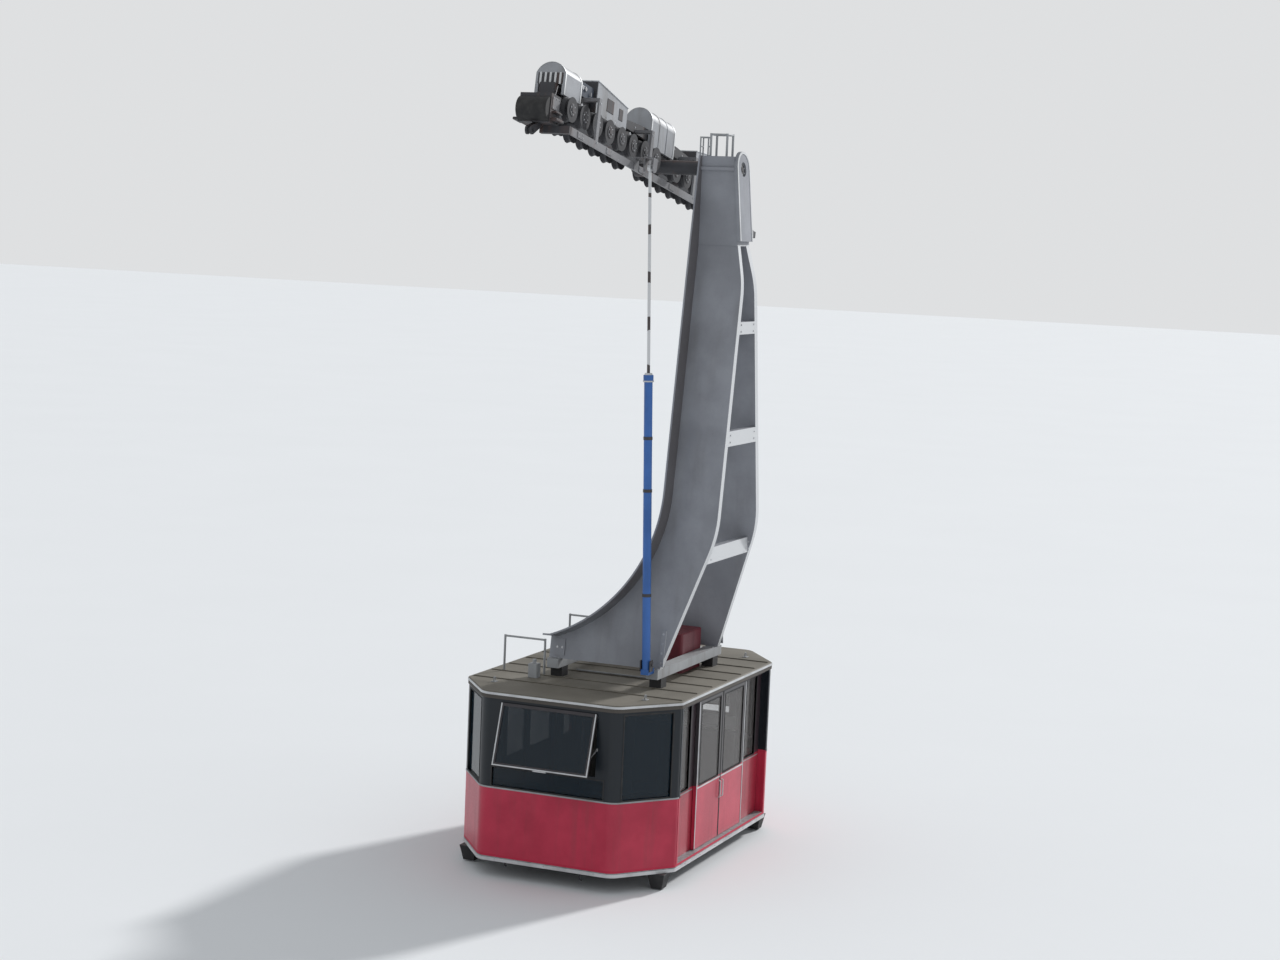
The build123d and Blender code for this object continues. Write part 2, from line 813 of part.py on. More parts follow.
# Floor, with pockets between its beams
with BuildPart() as cabin_floor:
    extrude(cabin_plan(cabin_base, 0), amount=floor_thickness)
    with BuildSketch(Plane.XY.offset(cabin_base)):
        with GridLocations(pocket_length + floor_beam, pocket_width + floor_beam, pockets_along, pockets_across):
            Rectangle(pocket_length, pocket_width)
    extrude(amount=floor_thickness - floor_plate, mode=Mode.SUBTRACT)
finish(cabin_floor, "cabin_floor")

# Roof, a flat panel with a chamfered rim
with BuildPart() as cabin_roof:
    extrude(cabin_plan(roof_bottom, -roof_overhang), amount=roof_thickness)
    chamfer(cabin_roof.faces().sort_by(Axis.Z)[-1].edges(), roof_edge_radius)
finish(cabin_roof, "cabin_roof")

# Windows of an end: lower pane and vent in the middle facet, one window in each corner facet
vent_low = window_top - vent_height
low_pane_top = vent_low - vent_frame
middle_panes = (
    # half width, lower edge, upper edge
    (end_window_half_width, belt_height, low_pane_top),
    (vent_width / 2, vent_low, window_top),
)
corner_middle = Vector(cabin_length / 2 - corner_run / 2, end_facet_width / 2 + corner_rise / 2, 0)


def corner_plane(way, side):
    """Outer plane of a corner facet, with local y upwards."""
    normal = Vector(way * corner_normal.X, side * corner_normal.Y, 0)
    origin = (way * corner_middle.X, side * corner_middle.Y, cabin_base)
    return Plane(origin=origin, x_dir=(-normal.Y, normal.X, 0), z_dir=normal)


def end_plane(way):
    """Outer plane of an end facet, with local y upwards."""
    return Plane(origin=(way * cabin_length / 2, 0, cabin_base), x_dir=(0, way, 0), z_dir=(way, 0, 0))


def window_face(half_width, low, high, grow=0.0):
    """A window's rectangle on an upright plane that stands on the cabin's base."""
    with Locations((0, (low + high) / 2)):
        Rectangle(2 * (half_width + grow), high - low + 2 * grow)


inner_side = cabin_width / 2 - recess_depth
side_height = roof_bottom - floor_top
for name, way in (("end_shell_uphill", 1), ("end_shell_downhill", -1)):
    with BuildPart() as end_shell:
        extrude(cabin_plan(floor_top, 0), amount=side_height)
        extrude(cabin_plan(floor_top, wall), amount=side_height, mode=Mode.SUBTRACT)
        with BuildSketch(Plane.XY.offset(floor_top)):
            with Locations((way * (recess_half_length - cabin_length / 2), 0)):
                Rectangle(cabin_length, 2 * cabin_width)
        extrude(amount=side_height, mode=Mode.SUBTRACT)
        jamb_middle = cabin_width / 2 - (recess_depth + wall) / 2
        with BuildSketch(Plane.XY.offset(floor_top)):
            with GridLocations(0, 2 * jamb_middle, 1, 2):
                with Locations((way * (recess_half_length + wall / 2), 0)):
                    Rectangle(wall, recess_depth + wall)
        extrude(amount=side_height)
        for half_width, low, high in middle_panes:
            with BuildSketch(end_plane(way)):
                window_face(half_width, low, high)
            extrude(amount=-wall, mode=Mode.SUBTRACT)
        for side in (-1, 1):
            with BuildSketch(corner_plane(way, side)):
                window_face(corner_window_width / 2, belt_height, window_top)
            extrude(amount=-wall, mode=Mode.SUBTRACT)
    finish(end_shell, name)

# Recessed side walls, with the door opening in the middle and a window at each end
side_window_centre = (side_window_start + side_window_end) / 2
side_window_z = cabin_base + (side_belt_height + side_window_top) / 2


def side_windows(grow=0.0):
    """The two window rectangles of a side wall, seen from the side."""
    with Locations((-side_window_centre, side_window_z), (side_window_centre, side_window_z)):
        Rectangle(
            side_window_end - side_window_start + 2 * grow,
            side_window_top - side_belt_height + 2 * grow,
        )


for name, outer_y in (("side_wall_right", inner_side), ("side_wall_left", wall - inner_side)):
    with BuildPart() as side_wall:
        with BuildSketch(Plane.XZ.offset(-outer_y)):
            with Locations((0, (roof_bottom + floor_top) / 2)):
                Rectangle(2 * (recess_half_length - seat_clearance), side_height)
        extrude(amount=wall)
        with BuildSketch(Plane.XZ.offset(-outer_y)):
            with Locations((0, (cabin_base + door_opening_top + floor_top) / 2)):
                Rectangle(2 * door_half_opening, cabin_base + door_opening_top - floor_top)
            side_windows()
        extrude(amount=wall, mode=Mode.SUBTRACT)
    finish(side_wall, name)

# Fixed panes, each in the middle of its wall's thickness
pane_depth = (wall + pane) / 2
with BuildPart() as cabin_glass:
    for way in (-1, 1):
        with BuildSketch(end_plane(way).offset(-pane_depth)):
            window_face(*middle_panes[0], -seat_clearance)
        extrude(amount=pane)
        for side in (-1, 1):
            with BuildSketch(corner_plane(way, side).offset(-pane_depth)):
                window_face(corner_window_width / 2, belt_height, window_top, -seat_clearance)
            extrude(amount=pane)
    for middle_y in (inner_side - wall / 2, wall / 2 - inner_side):
        with BuildSketch(Plane.XZ.offset(-middle_y - pane / 2)):
            side_windows(-seat_clearance)
        extrude(amount=pane)
finish(cabin_glass, "cabin_glass")


def vent_plane(way):
    """Plane of an end's vent, hinged along its top edge and open at the bottom."""
    turn = radians(vent_angle)
    hinge = (way * (cabin_length / 2 + seat_clearance), 0, cabin_base + window_top)
    return Plane(origin=hinge, x_dir=(0, way, 0), z_dir=(way * cos(turn), 0, sin(turn)))


# Top-hung vents in both ends: frames, and their panes
with BuildPart() as vent_frames:
    for way in (-1, 1):
        with BuildSketch(vent_plane(way)):
            with Locations((0, -vent_height / 2)):
                Rectangle(vent_width, vent_height)
                Rectangle(vent_width - 2 * vent_frame, vent_height - 2 * vent_frame, mode=Mode.SUBTRACT)
        extrude(amount=vent_thickness)
finish(vent_frames, "vent_frames")

with BuildPart() as vent_panes:
    for way in (-1, 1):
        with BuildSketch(vent_plane(way).offset((vent_thickness - pane) / 2)):
            with Locations((0, -vent_height / 2)):
                Rectangle(
                    vent_width - 2 * vent_frame - 2 * seat_clearance,
                    vent_height - 2 * vent_frame - 2 * seat_clearance,
                )
        extrude(amount=pane)
finish(vent_panes, "vent_panes")

# Doors: each leaf is a framed panel hung from carriers in a channel above it
leaf_outer = cabin_width / 2 - leaf_face_inset
leaf_inner = leaf_outer - leaf_depth
leaf_low = floor_top + moving_clearance
leaf_high = cabin_base + leaf_top
track_low = leaf_high + moving_clearance
lip_top = track_low + track_wall + seat_clearance
leaf_middle_y = (leaf_outer + leaf_inner) / 2
leaf_start = leaf_meeting_gap / 2
leaf_middle = ((leaf_start + leaf_width) / 2, (leaf_low + leaf_high) / 2)
leaf_window_centre = (leaf_window_start + leaf_window_end) / 2
leaf_window_z = cabin_base + (side_belt_height + leaf_window_top) / 2


def leaf_window(grow=0.0):
    """The rectangle of a leaf's window seen from the side, for a leaf towards +X."""
    with Locations((leaf_window_centre, leaf_window_z)):
        Rectangle(
            leaf_window_end - leaf_window_start + 2 * grow,
            leaf_window_top - side_belt_height + 2 * grow,
        )


carrier_steps = (
    # half width across the track, lower level, upper level
    (carrier_stem / 2, leaf_high, lip_top),
    (carrier_head / 2, lip_top, lip_top + carrier_height),
)
with BuildPart(mode=Mode.PRIVATE) as leaf:
    with BuildSketch(Plane.XZ.offset(-leaf_outer)):
        with Locations(leaf_middle):
            Rectangle(leaf_width - leaf_start, leaf_high - leaf_low)
    extrude(amount=leaf_depth)
    with BuildSketch(Plane.XZ.offset(-leaf_inner)):
        with Locations(leaf_middle):
            Rectangle(leaf_width - leaf_start - 2 * leaf_rib, leaf_high - leaf_low - 2 * leaf_rib)
    extrude(amount=leaf_skin - leaf_depth, mode=Mode.SUBTRACT)
    with BuildSketch(Plane.XZ.offset(-leaf_outer)):
        leaf_window()
    extrude(amount=leaf_depth, mode=Mode.SUBTRACT)
    for x in (leaf_start + carrier_inset, leaf_width - carrier_inset):
        for half_width, low, high in carrier_steps:
            with BuildSketch(Plane.XZ.offset(-leaf_middle_y - half_width)):
                with Locations((x, (low + high) / 2)):
                    Rectangle(carrier_length, high - low)
            extrude(amount=2 * half_width)

with BuildPart(mode=Mode.PRIVATE) as leaf_pane:
    with BuildSketch(Plane.XZ.offset(-leaf_outer + (leaf_skin - pane) / 2)):
        leaf_window(-seat_clearance)
    extrude(amount=pane)

door_places = (
    # name, mirrored across the cabin's length, mirrored across its width
    ("right_uphill", False, False),
    ("right_downhill", True, False),
    ("left_uphill", False, True),
    ("left_downhill", True, True),
)
for place, flip_x, flip_y in door_places:
    for kind, piece in (("door_leaf", leaf), ("door_pane", leaf_pane)):
        shape = piece.part
        if flip_x:
            shape = mirror(shape, about=Plane.YZ)
        if flip_y:
            shape = mirror(shape, about=Plane.XZ)
        with BuildPart() as door_piece:
            add(shape)
        finish(door_piece, f"{kind}_{place}")

# Door tracks: a slotted channel over each pair of leaves, under the roof's edge
track_inner = inner_side + seat_clearance
track_outer = leaf_outer + moving_clearance
track_width = track_outer - track_inner
track_height = roof_bottom - seat_clearance - track_low
with BuildPart() as door_tracks:
    for side in (-1, 1):
        with BuildSketch(Plane.YZ.offset(moving_clearance - recess_half_length)):
            with Locations((side * (track_outer + track_inner) / 2, track_low + track_height / 2)):
                Rectangle(track_width, track_height)
                Rectangle(track_width - 2 * track_wall, track_height - 2 * track_wall, mode=Mode.SUBTRACT)
            with Locations((side * leaf_middle_y, track_low)):
                Rectangle(track_slot, 4 * track_wall, mode=Mode.SUBTRACT)
        extrude(amount=2 * (recess_half_length - moving_clearance))
finish(door_tracks, "door_tracks")

# Rubber feet under the four corners
foot_station = cabin_length / 2 - foot_end_inset
foot_offset = cabin_width / 2 - foot_side_inset
with BuildPart() as corner_feet:
    with BuildSketch(Plane(origin=(0, 0, cabin_base), z_dir=(0, 0, -1))):
        with GridLocations(2 * foot_station, 2 * foot_offset, 2, 2):
            Rectangle(rubber_foot_top, rubber_foot_top)
    extrude(amount=rubber_foot_height, taper=rubber_foot_taper)
finish(corner_feet, "corner_feet")

# Poles inside the cabin
with BuildPart() as cabin_poles:
    with BuildSketch(Plane.XY.offset(floor_top)):
        with GridLocations(pole_spacing, 0, pole_count, 1):
            Circle(pole_radius)
    extrude(amount=side_height)
finish(cabin_poles, "cabin_poles")

# Equipment box on the roof, and the guard rails beside the hanger's toes
with BuildPart() as roof_equipment_box:
    with BuildSketch(Plane.XY.offset(roof_top)):
        with Locations(roof_box_centre):
            RectangleRounded(roof_box[0], roof_box[1], roof_box_corner)
    extrude(amount=roof_box[2])
    chamfer(roof_equipment_box.faces().sort_by(Axis.Z)[-1].edges(), roof_box_edge)
finish(roof_equipment_box, "roof_equipment_box")

roof_rail_start = -leg_toe - roof_rail_gap
roof_rail_end = roof_rail_inset - cabin_width / 2
with BuildPart() as roof_rails:
    for way in (-1, 1):
        x = way * roof_rail_station
        with BuildSketch(Plane.XY.offset(roof_top)):
            with Locations((x, roof_rail_start), (x, roof_rail_end)):
                Circle(rail_post_radius)
        extrude(amount=roof_rail_height)
        with BuildSketch(Plane.XZ.offset(-roof_rail_start)):
            with Locations((x, roof_top + roof_rail_height - rail_post_radius)):
                Circle(rail_bar_radius)
        extrude(amount=roof_rail_start - roof_rail_end)
finish(roof_rails, "roof_rails")

# Swing damper: a tube that stands on the hanger's foot, and a rod with an eye in a fork on the carriage
damper_foot = Vector(damper_station, damper_foot_offset, foot_level)
damper_eye = Vector(damper_station, damper_eye_offset, pin_height - damper_eye_radius)
damper_axis = (damper_eye - damper_foot).normalized()
damper_length = (damper_eye - damper_foot).length


def damper_plane(distance):
    """Plane across the damper at a distance up from its foot."""
    return Plane(origin=damper_foot + damper_axis * distance, x_dir=(1, 0, 0), z_dir=damper_axis)


shelf_height = foot_beam_height / 3
with BuildPart() as damper_tube:
    with BuildSketch(damper_plane(0)):
        Circle(damper_tube_radius)
    extrude(amount=damper_tube_length)
    with BuildSketch(damper_plane(damper_tube_length - damper_collar_length)):
        Circle(damper_collar_radius)
    extrude(amount=damper_collar_length)
    with BuildSketch(Plane.XY.offset(foot_level - shelf_height)):
        shelf_end = damper_station + damper_tube_radius
        with Locations(((foot_beam_half_length + shelf_end) / 2, damper_foot_offset)):
            Rectangle(shelf_end - foot_beam_half_length, 2 * damper_tube_radius)
    extrude(amount=shelf_height + damper_tube_radius / 2)
    with BuildSketch(damper_plane(damper_tube_length)):
        Circle(damper_rod_radius + running_clearance)
    extrude(amount=-1.5 * damper_rod_in_tube, mode=Mode.SUBTRACT)
finish(damper_tube, "damper_tube")

with BuildPart() as damper_rod:
    with BuildSketch(damper_plane(damper_tube_length - damper_rod_in_tube)):
        Circle(damper_rod_radius)
    extrude(amount=damper_length - damper_tube_length + damper_rod_in_tube)
    with BuildSketch(Plane.XZ.offset(-damper_eye_offset - damper_eye_width / 2)):
        with Locations((damper_eye.X, damper_eye.Z)):
            Circle(damper_eye_radius)
    extrude(amount=damper_eye_width)
    with BuildSketch(Plane.XZ.offset(-damper_eye_offset - damper_eye_width / 2)):
        with Locations((damper_eye.X, damper_eye.Z)):
            Circle(damper_eye_bore)
    extrude(amount=damper_eye_width, mode=Mode.SUBTRACT)
finish(damper_rod, "damper_rod")

# Fork of the damper, bolted to the keeper beam
eye_local = side_view.to_local_coords(damper_eye)
fork_half = damper_eye_width / 2 + damper_fork_gap
fork_top = eye_local.Y + damper_eye_radius + 2 * damper_fork_gap
with BuildPart() as damper_fork:
    for outer in (damper_eye_offset + fork_half + damper_fork_plate, damper_eye_offset - fork_half):
        with BuildSketch(side_at(outer)):
            with Locations((eye_local.X, (eye_local.Y + fork_top) / 2)):
                Rectangle(damper_fork_reach, fork_top - eye_local.Y)
            with Locations((eye_local.X, eye_local.Y)):
                Circle(damper_fork_reach / 2)
        extrude(amount=damper_fork_plate)
    with BuildSketch(side_at(damper_eye_offset + fork_half + damper_fork_plate)):
        with Locations((eye_local.X, fork_top + damper_fork_plate / 2)):
            Rectangle(damper_fork_reach, damper_fork_plate)
    extrude(amount=damper_eye_offset + fork_half + damper_fork_plate - keeper_beam_outer)
    with BuildSketch(side_at(keeper_beam_outer + damper_fork_plate)):
        low = keeper_beam_low
        with Locations((eye_local.X, (low + fork_top + damper_fork_plate) / 2)):
            Rectangle(damper_fork_reach, fork_top + damper_fork_plate - low)
    extrude(amount=damper_fork_plate)
finish(damper_fork, "damper_fork")
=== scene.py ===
# %% [markdown]
# A cable car cabin, dressed around its CAD frame.
# The CAD model brings the solids: carriage, hanger, cabin, doors, wheels and damper, each on the body that it moves
# with. This lesson adds what shows from a step away: paint, glass, seals, trims, bolts and rails.
# Everything is in metres, in the CAD frame: +X uphill, +Y to the side where the hanger stands, +Z up.

# %% Load the frame
import math

import bmesh
import bpy
from mathutils import Matrix, Vector


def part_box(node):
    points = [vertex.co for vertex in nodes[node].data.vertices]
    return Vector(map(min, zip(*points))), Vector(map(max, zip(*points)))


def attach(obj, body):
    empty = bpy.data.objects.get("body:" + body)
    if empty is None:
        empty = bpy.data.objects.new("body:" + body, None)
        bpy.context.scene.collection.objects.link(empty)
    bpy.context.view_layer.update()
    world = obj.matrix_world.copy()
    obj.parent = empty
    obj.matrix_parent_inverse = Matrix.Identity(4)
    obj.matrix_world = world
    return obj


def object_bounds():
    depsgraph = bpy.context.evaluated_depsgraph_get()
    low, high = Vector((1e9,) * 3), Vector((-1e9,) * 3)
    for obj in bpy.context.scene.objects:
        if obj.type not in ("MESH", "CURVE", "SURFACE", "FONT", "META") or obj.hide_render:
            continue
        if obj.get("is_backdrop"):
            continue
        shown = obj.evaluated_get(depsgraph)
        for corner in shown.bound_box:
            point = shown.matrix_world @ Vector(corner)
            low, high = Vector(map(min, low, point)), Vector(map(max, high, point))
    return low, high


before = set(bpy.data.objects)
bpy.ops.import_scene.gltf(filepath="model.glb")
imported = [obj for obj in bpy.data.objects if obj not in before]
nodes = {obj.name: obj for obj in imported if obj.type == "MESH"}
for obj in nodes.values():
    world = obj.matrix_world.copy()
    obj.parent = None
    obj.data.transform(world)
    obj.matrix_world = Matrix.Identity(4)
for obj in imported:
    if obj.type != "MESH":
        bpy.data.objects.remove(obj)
cad_low, cad_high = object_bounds()
scene = bpy.context.scene
print("CAD box from", tuple(cad_low), "to", tuple(cad_high))

# %% [markdown]
# The camera. The photograph looks at the cabin from the uphill side, a little above the middle, and leans by two
# degrees. A camera can be placed by eye, but then the two pictures never quite agree. This place was found by fitting
# the perspective of the cabin's edges. The lens is longer than the photograph's, which only crops the same view.


# %% Camera
def put(name, data):
    """An object in the scene for this mesh, lamp or camera."""
    made = bpy.data.objects.new(name, data)
    scene.collection.objects.link(made)
    return made


def axes_at(origin, x_axis, y_axis, z_axis):
    """The frame with this origin and these three axes."""
    return Matrix.Translation(origin) @ Matrix((x_axis, y_axis, z_axis)).transposed().to_4x4()


camera_place = Vector((33.632, 13.896, -0.647))
camera_target = Vector((0.55, 0.34, -4.42))
camera_roll = math.radians(-2.447)
camera_lens = 69.0

view_way = (camera_target - camera_place).normalized()
level_right = view_way.cross(Vector((0, 0, 1))).normalized()
level_up = level_right.cross(view_way)
camera_right = level_right * math.cos(camera_roll) - level_up * math.sin(camera_roll)
camera_data = bpy.data.cameras.new("camera")
camera_data.lens = camera_lens
camera_data.clip_end = 500
camera = put("camera", camera_data)
camera.matrix_world = axes_at(camera_place, camera_right, camera_right.cross(view_way), -view_way)
scene.camera = camera
print("camera looks along", tuple(round(x, 3) for x in view_way))

# %% [markdown]
# Shader maths. A finish is a small network of nodes. Written node by node it is long and hard to read, so one class
# wraps a socket and lets Python's own + - * / build the Math nodes. Every other node comes from one method.


# %% Node helpers
class Wire:
    """One output socket, with the arithmetic that the finishes use."""

    def __init__(self, graph, socket):
        self.graph = graph
        self.socket = socket

    def math(self, operation, *values):
        return self.graph.node("ShaderNodeMath", {"operation": operation}, dict(enumerate(values)))

    def __add__(self, other):
        return self.math("ADD", self, other)

    def __radd__(self, other):
        return self.math("ADD", other, self)

    def __sub__(self, other):
        return self.math("SUBTRACT", self, other)

    def __rsub__(self, other):
        return self.math("SUBTRACT", other, self)

    def __mul__(self, other):
        return self.math("MULTIPLY", self, other)

    def __rmul__(self, other):
        return self.math("MULTIPLY", other, self)

    def __gt__(self, other):
        return self.math("GREATER_THAN", self, other)

    def __lt__(self, other):
        return self.math("LESS_THAN", self, other)

    def size(self):
        return self.math("ABSOLUTE", self)

    def between(self, low, high):
        """0 below low, 1 above high, and a smooth step in between."""
        settings = {"interpolation_type": "SMOOTHSTEP"}
        return self.graph.node("ShaderNodeMapRange", settings, {"Value": self, "From Min": low, "From Max": high})


class Graph:
    """A node tree in the making, of a material, a world or a modifier."""

    def __init__(self, tree):
        self.tree = tree

    def node(self, kind, settings=None, inputs=None, output=0):
        """Make a node: its settings first, then the values or links of its sockets."""
        made = self.tree.nodes.new(kind)
        for name, value in (settings or {}).items():
            setattr(made, name, value)
        for name, value in (inputs or {}).items():
            self.feed(made.inputs[name], value)
        return Wire(self, made.outputs[output])

    def feed(self, socket, value):
        """Link a wire to a socket, or set the socket's own value."""
        if isinstance(value, Wire):
            self.tree.links.new(value.socket, socket)
        elif socket.type == "RGBA":
            socket.default_value = (*value, 1)
        else:
            socket.default_value = value


# %% [markdown]
# Finishes. A material starts as Blender's main shader, and each layer of paint, dirt or grain is mixed into its colour
# and roughness. All patterns read the point on the object in metres, so they neither stretch nor slide on a part.


# %% Material helper
class Finish(Graph):
    """A material in the making."""

    sockets = {
        "colour": "Base Color", "roughness": "Roughness", "metallic": "Metallic", "coat": "Coat Weight",
        "alpha": "Alpha", "shine": "Specular IOR Level",
    }

    def __init__(self, name):
        self.material = bpy.data.materials.new(name)
        self.material.use_nodes = True
        super().__init__(self.material.node_tree)
        self.shader = self.tree.nodes["Principled BSDF"]

    def mix(self, share, first, second):
        """A blend of two colours. Sockets 0, 6 and 7 take the share and the colours; output 2 is the blend."""
        inputs = {0: share, 6: first, 7: second}
        return self.node("ShaderNodeMix", {"data_type": "RGBA"}, inputs, output=2)

    def axis(self, letter):
        """One coordinate of the point on the object, in metres."""
        coordinates = self.node("ShaderNodeTexCoord", output="Object")
        return self.node("ShaderNodeSeparateXYZ", None, {0: coordinates}, output=letter)

    def facing(self, letter):
        """One coordinate of the surface's own direction, from -1 to 1."""
        normal = self.node("ShaderNodeTexCoord", output="Normal")
        return self.node("ShaderNodeSeparateXYZ", None, {0: normal}, output=letter)

    def noise(self, scale, detail=4.0, stretch=(1, 1, 1)):
        """Cloudy noise from 0 to 1, scale features in a metre, drawn out where stretch is small."""
        coordinates = self.node("ShaderNodeTexCoord", output="Object")
        place = self.node("ShaderNodeMapping", None, {"Vector": coordinates, "Scale": stretch})
        inputs = {"Vector": place, "Scale": scale, "Detail": detail, "Roughness": 0.55}
        return self.node("ShaderNodeTexNoise", None, inputs)

    def bump(self, height, distance, strength):
        """Small relief in the surface, distance metres deep."""
        bumped = self.node("ShaderNodeBump", None, {"Height": height, "Distance": distance, "Strength": strength})
        self.feed(self.shader.inputs["Normal"], bumped)

    def set(self, **values):
        """Feed the main shader, and return the material."""
        for name, value in values.items():
            self.feed(self.shader.inputs[self.sockets[name]], value)
        return self.material


# %% [markdown]
# Paint on steel. Sprayed enamel has a faint orange peel, slow changes of tone across a panel, streaks where water
# ran down and a film of grime in hollows and on ledges. A painted picture of such dirt would have to be made for each
# part. One recipe of noise with named amounts gives every painted finish, and fits any part's size.


# %% Paint recipe
def painted(name, colour, grime=(0.16, 0.14, 0.12), amount=0.35, roughness=0.38, streaks=6.0):
    """Weathered enamel. Its colour stays at hand as shade, for more layers."""
    paint = Finish(name)
    tone = paint.noise(1.3, 5.0)
    fine = paint.noise(38.0, 3.0)
    runs = paint.noise(streaks, 4.0, stretch=(1, 1, 0.07))
    pale = tuple(min(1.0, c * 1.12 + 0.01) for c in colour)
    deep = tuple(c * 0.86 for c in colour)
    body = paint.mix(tone.between(0.3, 0.7), deep, pale)
    film = runs.between(0.48, 0.78) * amount + fine.between(0.5, 0.9) * (amount * 0.4)
    dirt = film + paint.facing("Z").between(0.55, 0.95) * amount * tone
    dirt = dirt.math("MINIMUM", dirt, 0.9)
    paint.shade = paint.mix(dirt, body, grime)
    paint.bump(paint.noise(220.0, 2.0), 0.0004, 0.25)
    paint.set(colour=paint.shade, roughness=roughness + fine * 0.18 + dirt * 0.25)
    return paint


# Painted shade: the hoods, the keeper beams and the parts in their paints are pale grey, and these darker greys stand
# in for their faces in shade. The pale paint of the hood tops is a painted highlight of their sunlit top.
hood_paint = painted("hood_paint", (0.33, 0.34, 0.36), amount=0.45).material
bright_paint = painted("bright_paint", (0.78, 0.79, 0.80), amount=0.2).material
keeper_paint = painted("keeper_paint", (0.19, 0.19, 0.20), (0.11, 0.065, 0.05), 0.6).material
frame_paint = painted("frame_paint", (0.035, 0.036, 0.042), (0.13, 0.065, 0.045), 0.5, 0.5).material
unit_paint = painted("unit_paint", (0.03, 0.13, 0.42), (0.05, 0.06, 0.08), 0.3).material
tank_paint = painted("tank_paint", (0.020, 0.032, 0.055), (0.06, 0.05, 0.05), 0.4).material
rail_paint = painted("rail_paint", (0.33, 0.34, 0.35), amount=0.4, roughness=0.5).material
# Painted shade: the equipment box is red, and this dark maroon stands in for the shade between the hanger's legs.
box_paint = painted("box_paint", (0.15, 0.010, 0.022), (0.05, 0.02, 0.02), 0.4).material
print("paints mixed:", len(bpy.data.materials))

# %% [markdown]
# The hanger's grey. Its broad webs are a flat mid grey with rain streaks that run straight down. The outer edges and
# ties, which face the light, get a paler band that is a painted highlight. The wide flange along the inner edge is
# painted dark brown on the side that looks outwards, which is painted shade where the web shades it. The way a surface
# faces, and its place across the hanger, tell which is which.

# %% Hanger paint
flange_side = 1.0
head_plate_end = -0.93
hanger = painted("hanger_paint", (0.27, 0.28, 0.31), (0.12, 0.11, 0.10), 0.3, streaks=3.0)
# Painted highlight on the outer edges and ties that face +Y, and painted shade on the flange's outward side.
outward = hanger.facing("Y").between(0.5, 0.8)
painted_highlight_edge = outward * (hanger.axis("Y") > flange_side) * (hanger.axis("Z") < head_plate_end)
painted_shade_flange = outward * (hanger.axis("Y") < flange_side)
with_painted_highlight = hanger.mix(painted_highlight_edge * 0.85, hanger.shade, (0.68, 0.69, 0.70))
hanger_paint = hanger.set(colour=hanger.mix(painted_shade_flange * 0.8, with_painted_highlight, (0.085, 0.075, 0.075)))

# %% [markdown]
# Cabin paint. Below the windows the shell is red enamel. From the belt up, the end and its corners are one dark band
# of glazing with no red between the panes, so the shell is black there. Its inside is a pale lining. Separate parts
# could carry the three colours, but the real panel is one sheet, so height, the way the surface faces and its side of
# the wall decide. The side walls and the doors are red below their belt and a dark grey between their windows.

# %% Cabin paint
belt_level = -8.70
side_belt_level = -8.75
recess_half_length = 1.80
red = (0.48, 0.017, 0.055)
lining_colour = (0.30, 0.30, 0.29)
shell = painted("cabin_paint", red, (0.10, 0.05, 0.05), 0.22, 0.28)
above_belt = shell.axis("Z") > belt_level - 0.022
glazed_band = shell.mix(above_belt, shell.shade, (0.004, 0.008, 0.013))
inward = shell.axis("X") * shell.facing("X") + shell.axis("Y") * shell.facing("Y")
upright = shell.facing("Z").size() < 0.5
lined = (inward < 0) * upright * (shell.axis("X").size() > recess_half_length + 0.002)
cabin_paint = shell.set(colour=shell.mix(lined, glazed_band, lining_colour), coat=0.1, shine=0.4)


def side_paint(name, below, above):
    """Paint of a side panel: one colour below the belt, dark between the windows, pale inside."""
    side = painted(name, below, (0.08, 0.04, 0.04), 0.25, 0.3)
    panel = side.mix(side.axis("Z") > side_belt_level, side.shade, above)
    inside = side.axis("Y") * side.facing("Y") < -0.5
    return side.set(colour=side.mix(inside, panel, lining_colour), coat=0.2)


wall_paint = side_paint("wall_paint", (0.36, 0.014, 0.038), (0.035, 0.022, 0.028))
door_paint = side_paint("door_paint", red, (0.045, 0.040, 0.044))

# %% [markdown]
# Bare metals and rubber. Machined steel keeps fine turning marks, castings are dark and pitted, galvanised and
# aluminium sheet is dull with a soft grain, and rubber is black with a dusty bloom. Their marks are too small to
# model, so a stretched noise feeds a little bump and the roughness, which is what the eye reads.


# %% Metal and rubber
def metal(name, colour, roughness, grain, stretch=(1, 1, 1), metallic=0.9):
    """Bare metal with a grain, which stretch draws out along an axis."""
    bare = Finish(name)
    marks = bare.noise(grain, 4.0, stretch)
    cloud = bare.noise(3.0, 5.0)
    dark = tuple(c * 0.6 for c in colour)
    bare.bump(marks, 0.0003, 0.4)
    shade = bare.mix(cloud.between(0.35, 0.75) * 0.7, colour, dark)
    return bare.set(colour=shade, roughness=roughness + marks * 0.2, metallic=metallic)


def rubbery(name, colour):
    """Black rubber with a pale bloom of dust."""
    rubber = Finish(name)
    bloom = rubber.noise(9.0, 5.0).between(0.45, 0.8)
    rubber.bump(rubber.noise(400.0, 2.0), 0.0002, 0.4)
    return rubber.set(colour=rubber.mix(bloom * 0.5, colour, (0.06, 0.058, 0.055)), roughness=0.72)


steel = metal("steel", (0.52, 0.53, 0.55), 0.28, 60.0, (1, 1, 0.05))
wheel_metal = metal("wheel_metal", (0.045, 0.045, 0.05), 0.5, 120.0, metallic=0.5)
pole_steel = metal("pole_steel", (0.6, 0.6, 0.61), 0.3, 150.0, (1, 1, 0.04))
trim_metal = metal("trim_metal", (0.62, 0.63, 0.64), 0.42, 90.0, metallic=0.35)
track_metal = metal("track_metal", (0.06, 0.055, 0.06), 0.5, 70.0, metallic=0.4)
nose_rubber = rubbery("nose_rubber", (0.012, 0.012, 0.013))
mount_rubber = rubbery("mount_rubber", (0.02, 0.02, 0.021))
print("metals and rubbers made")
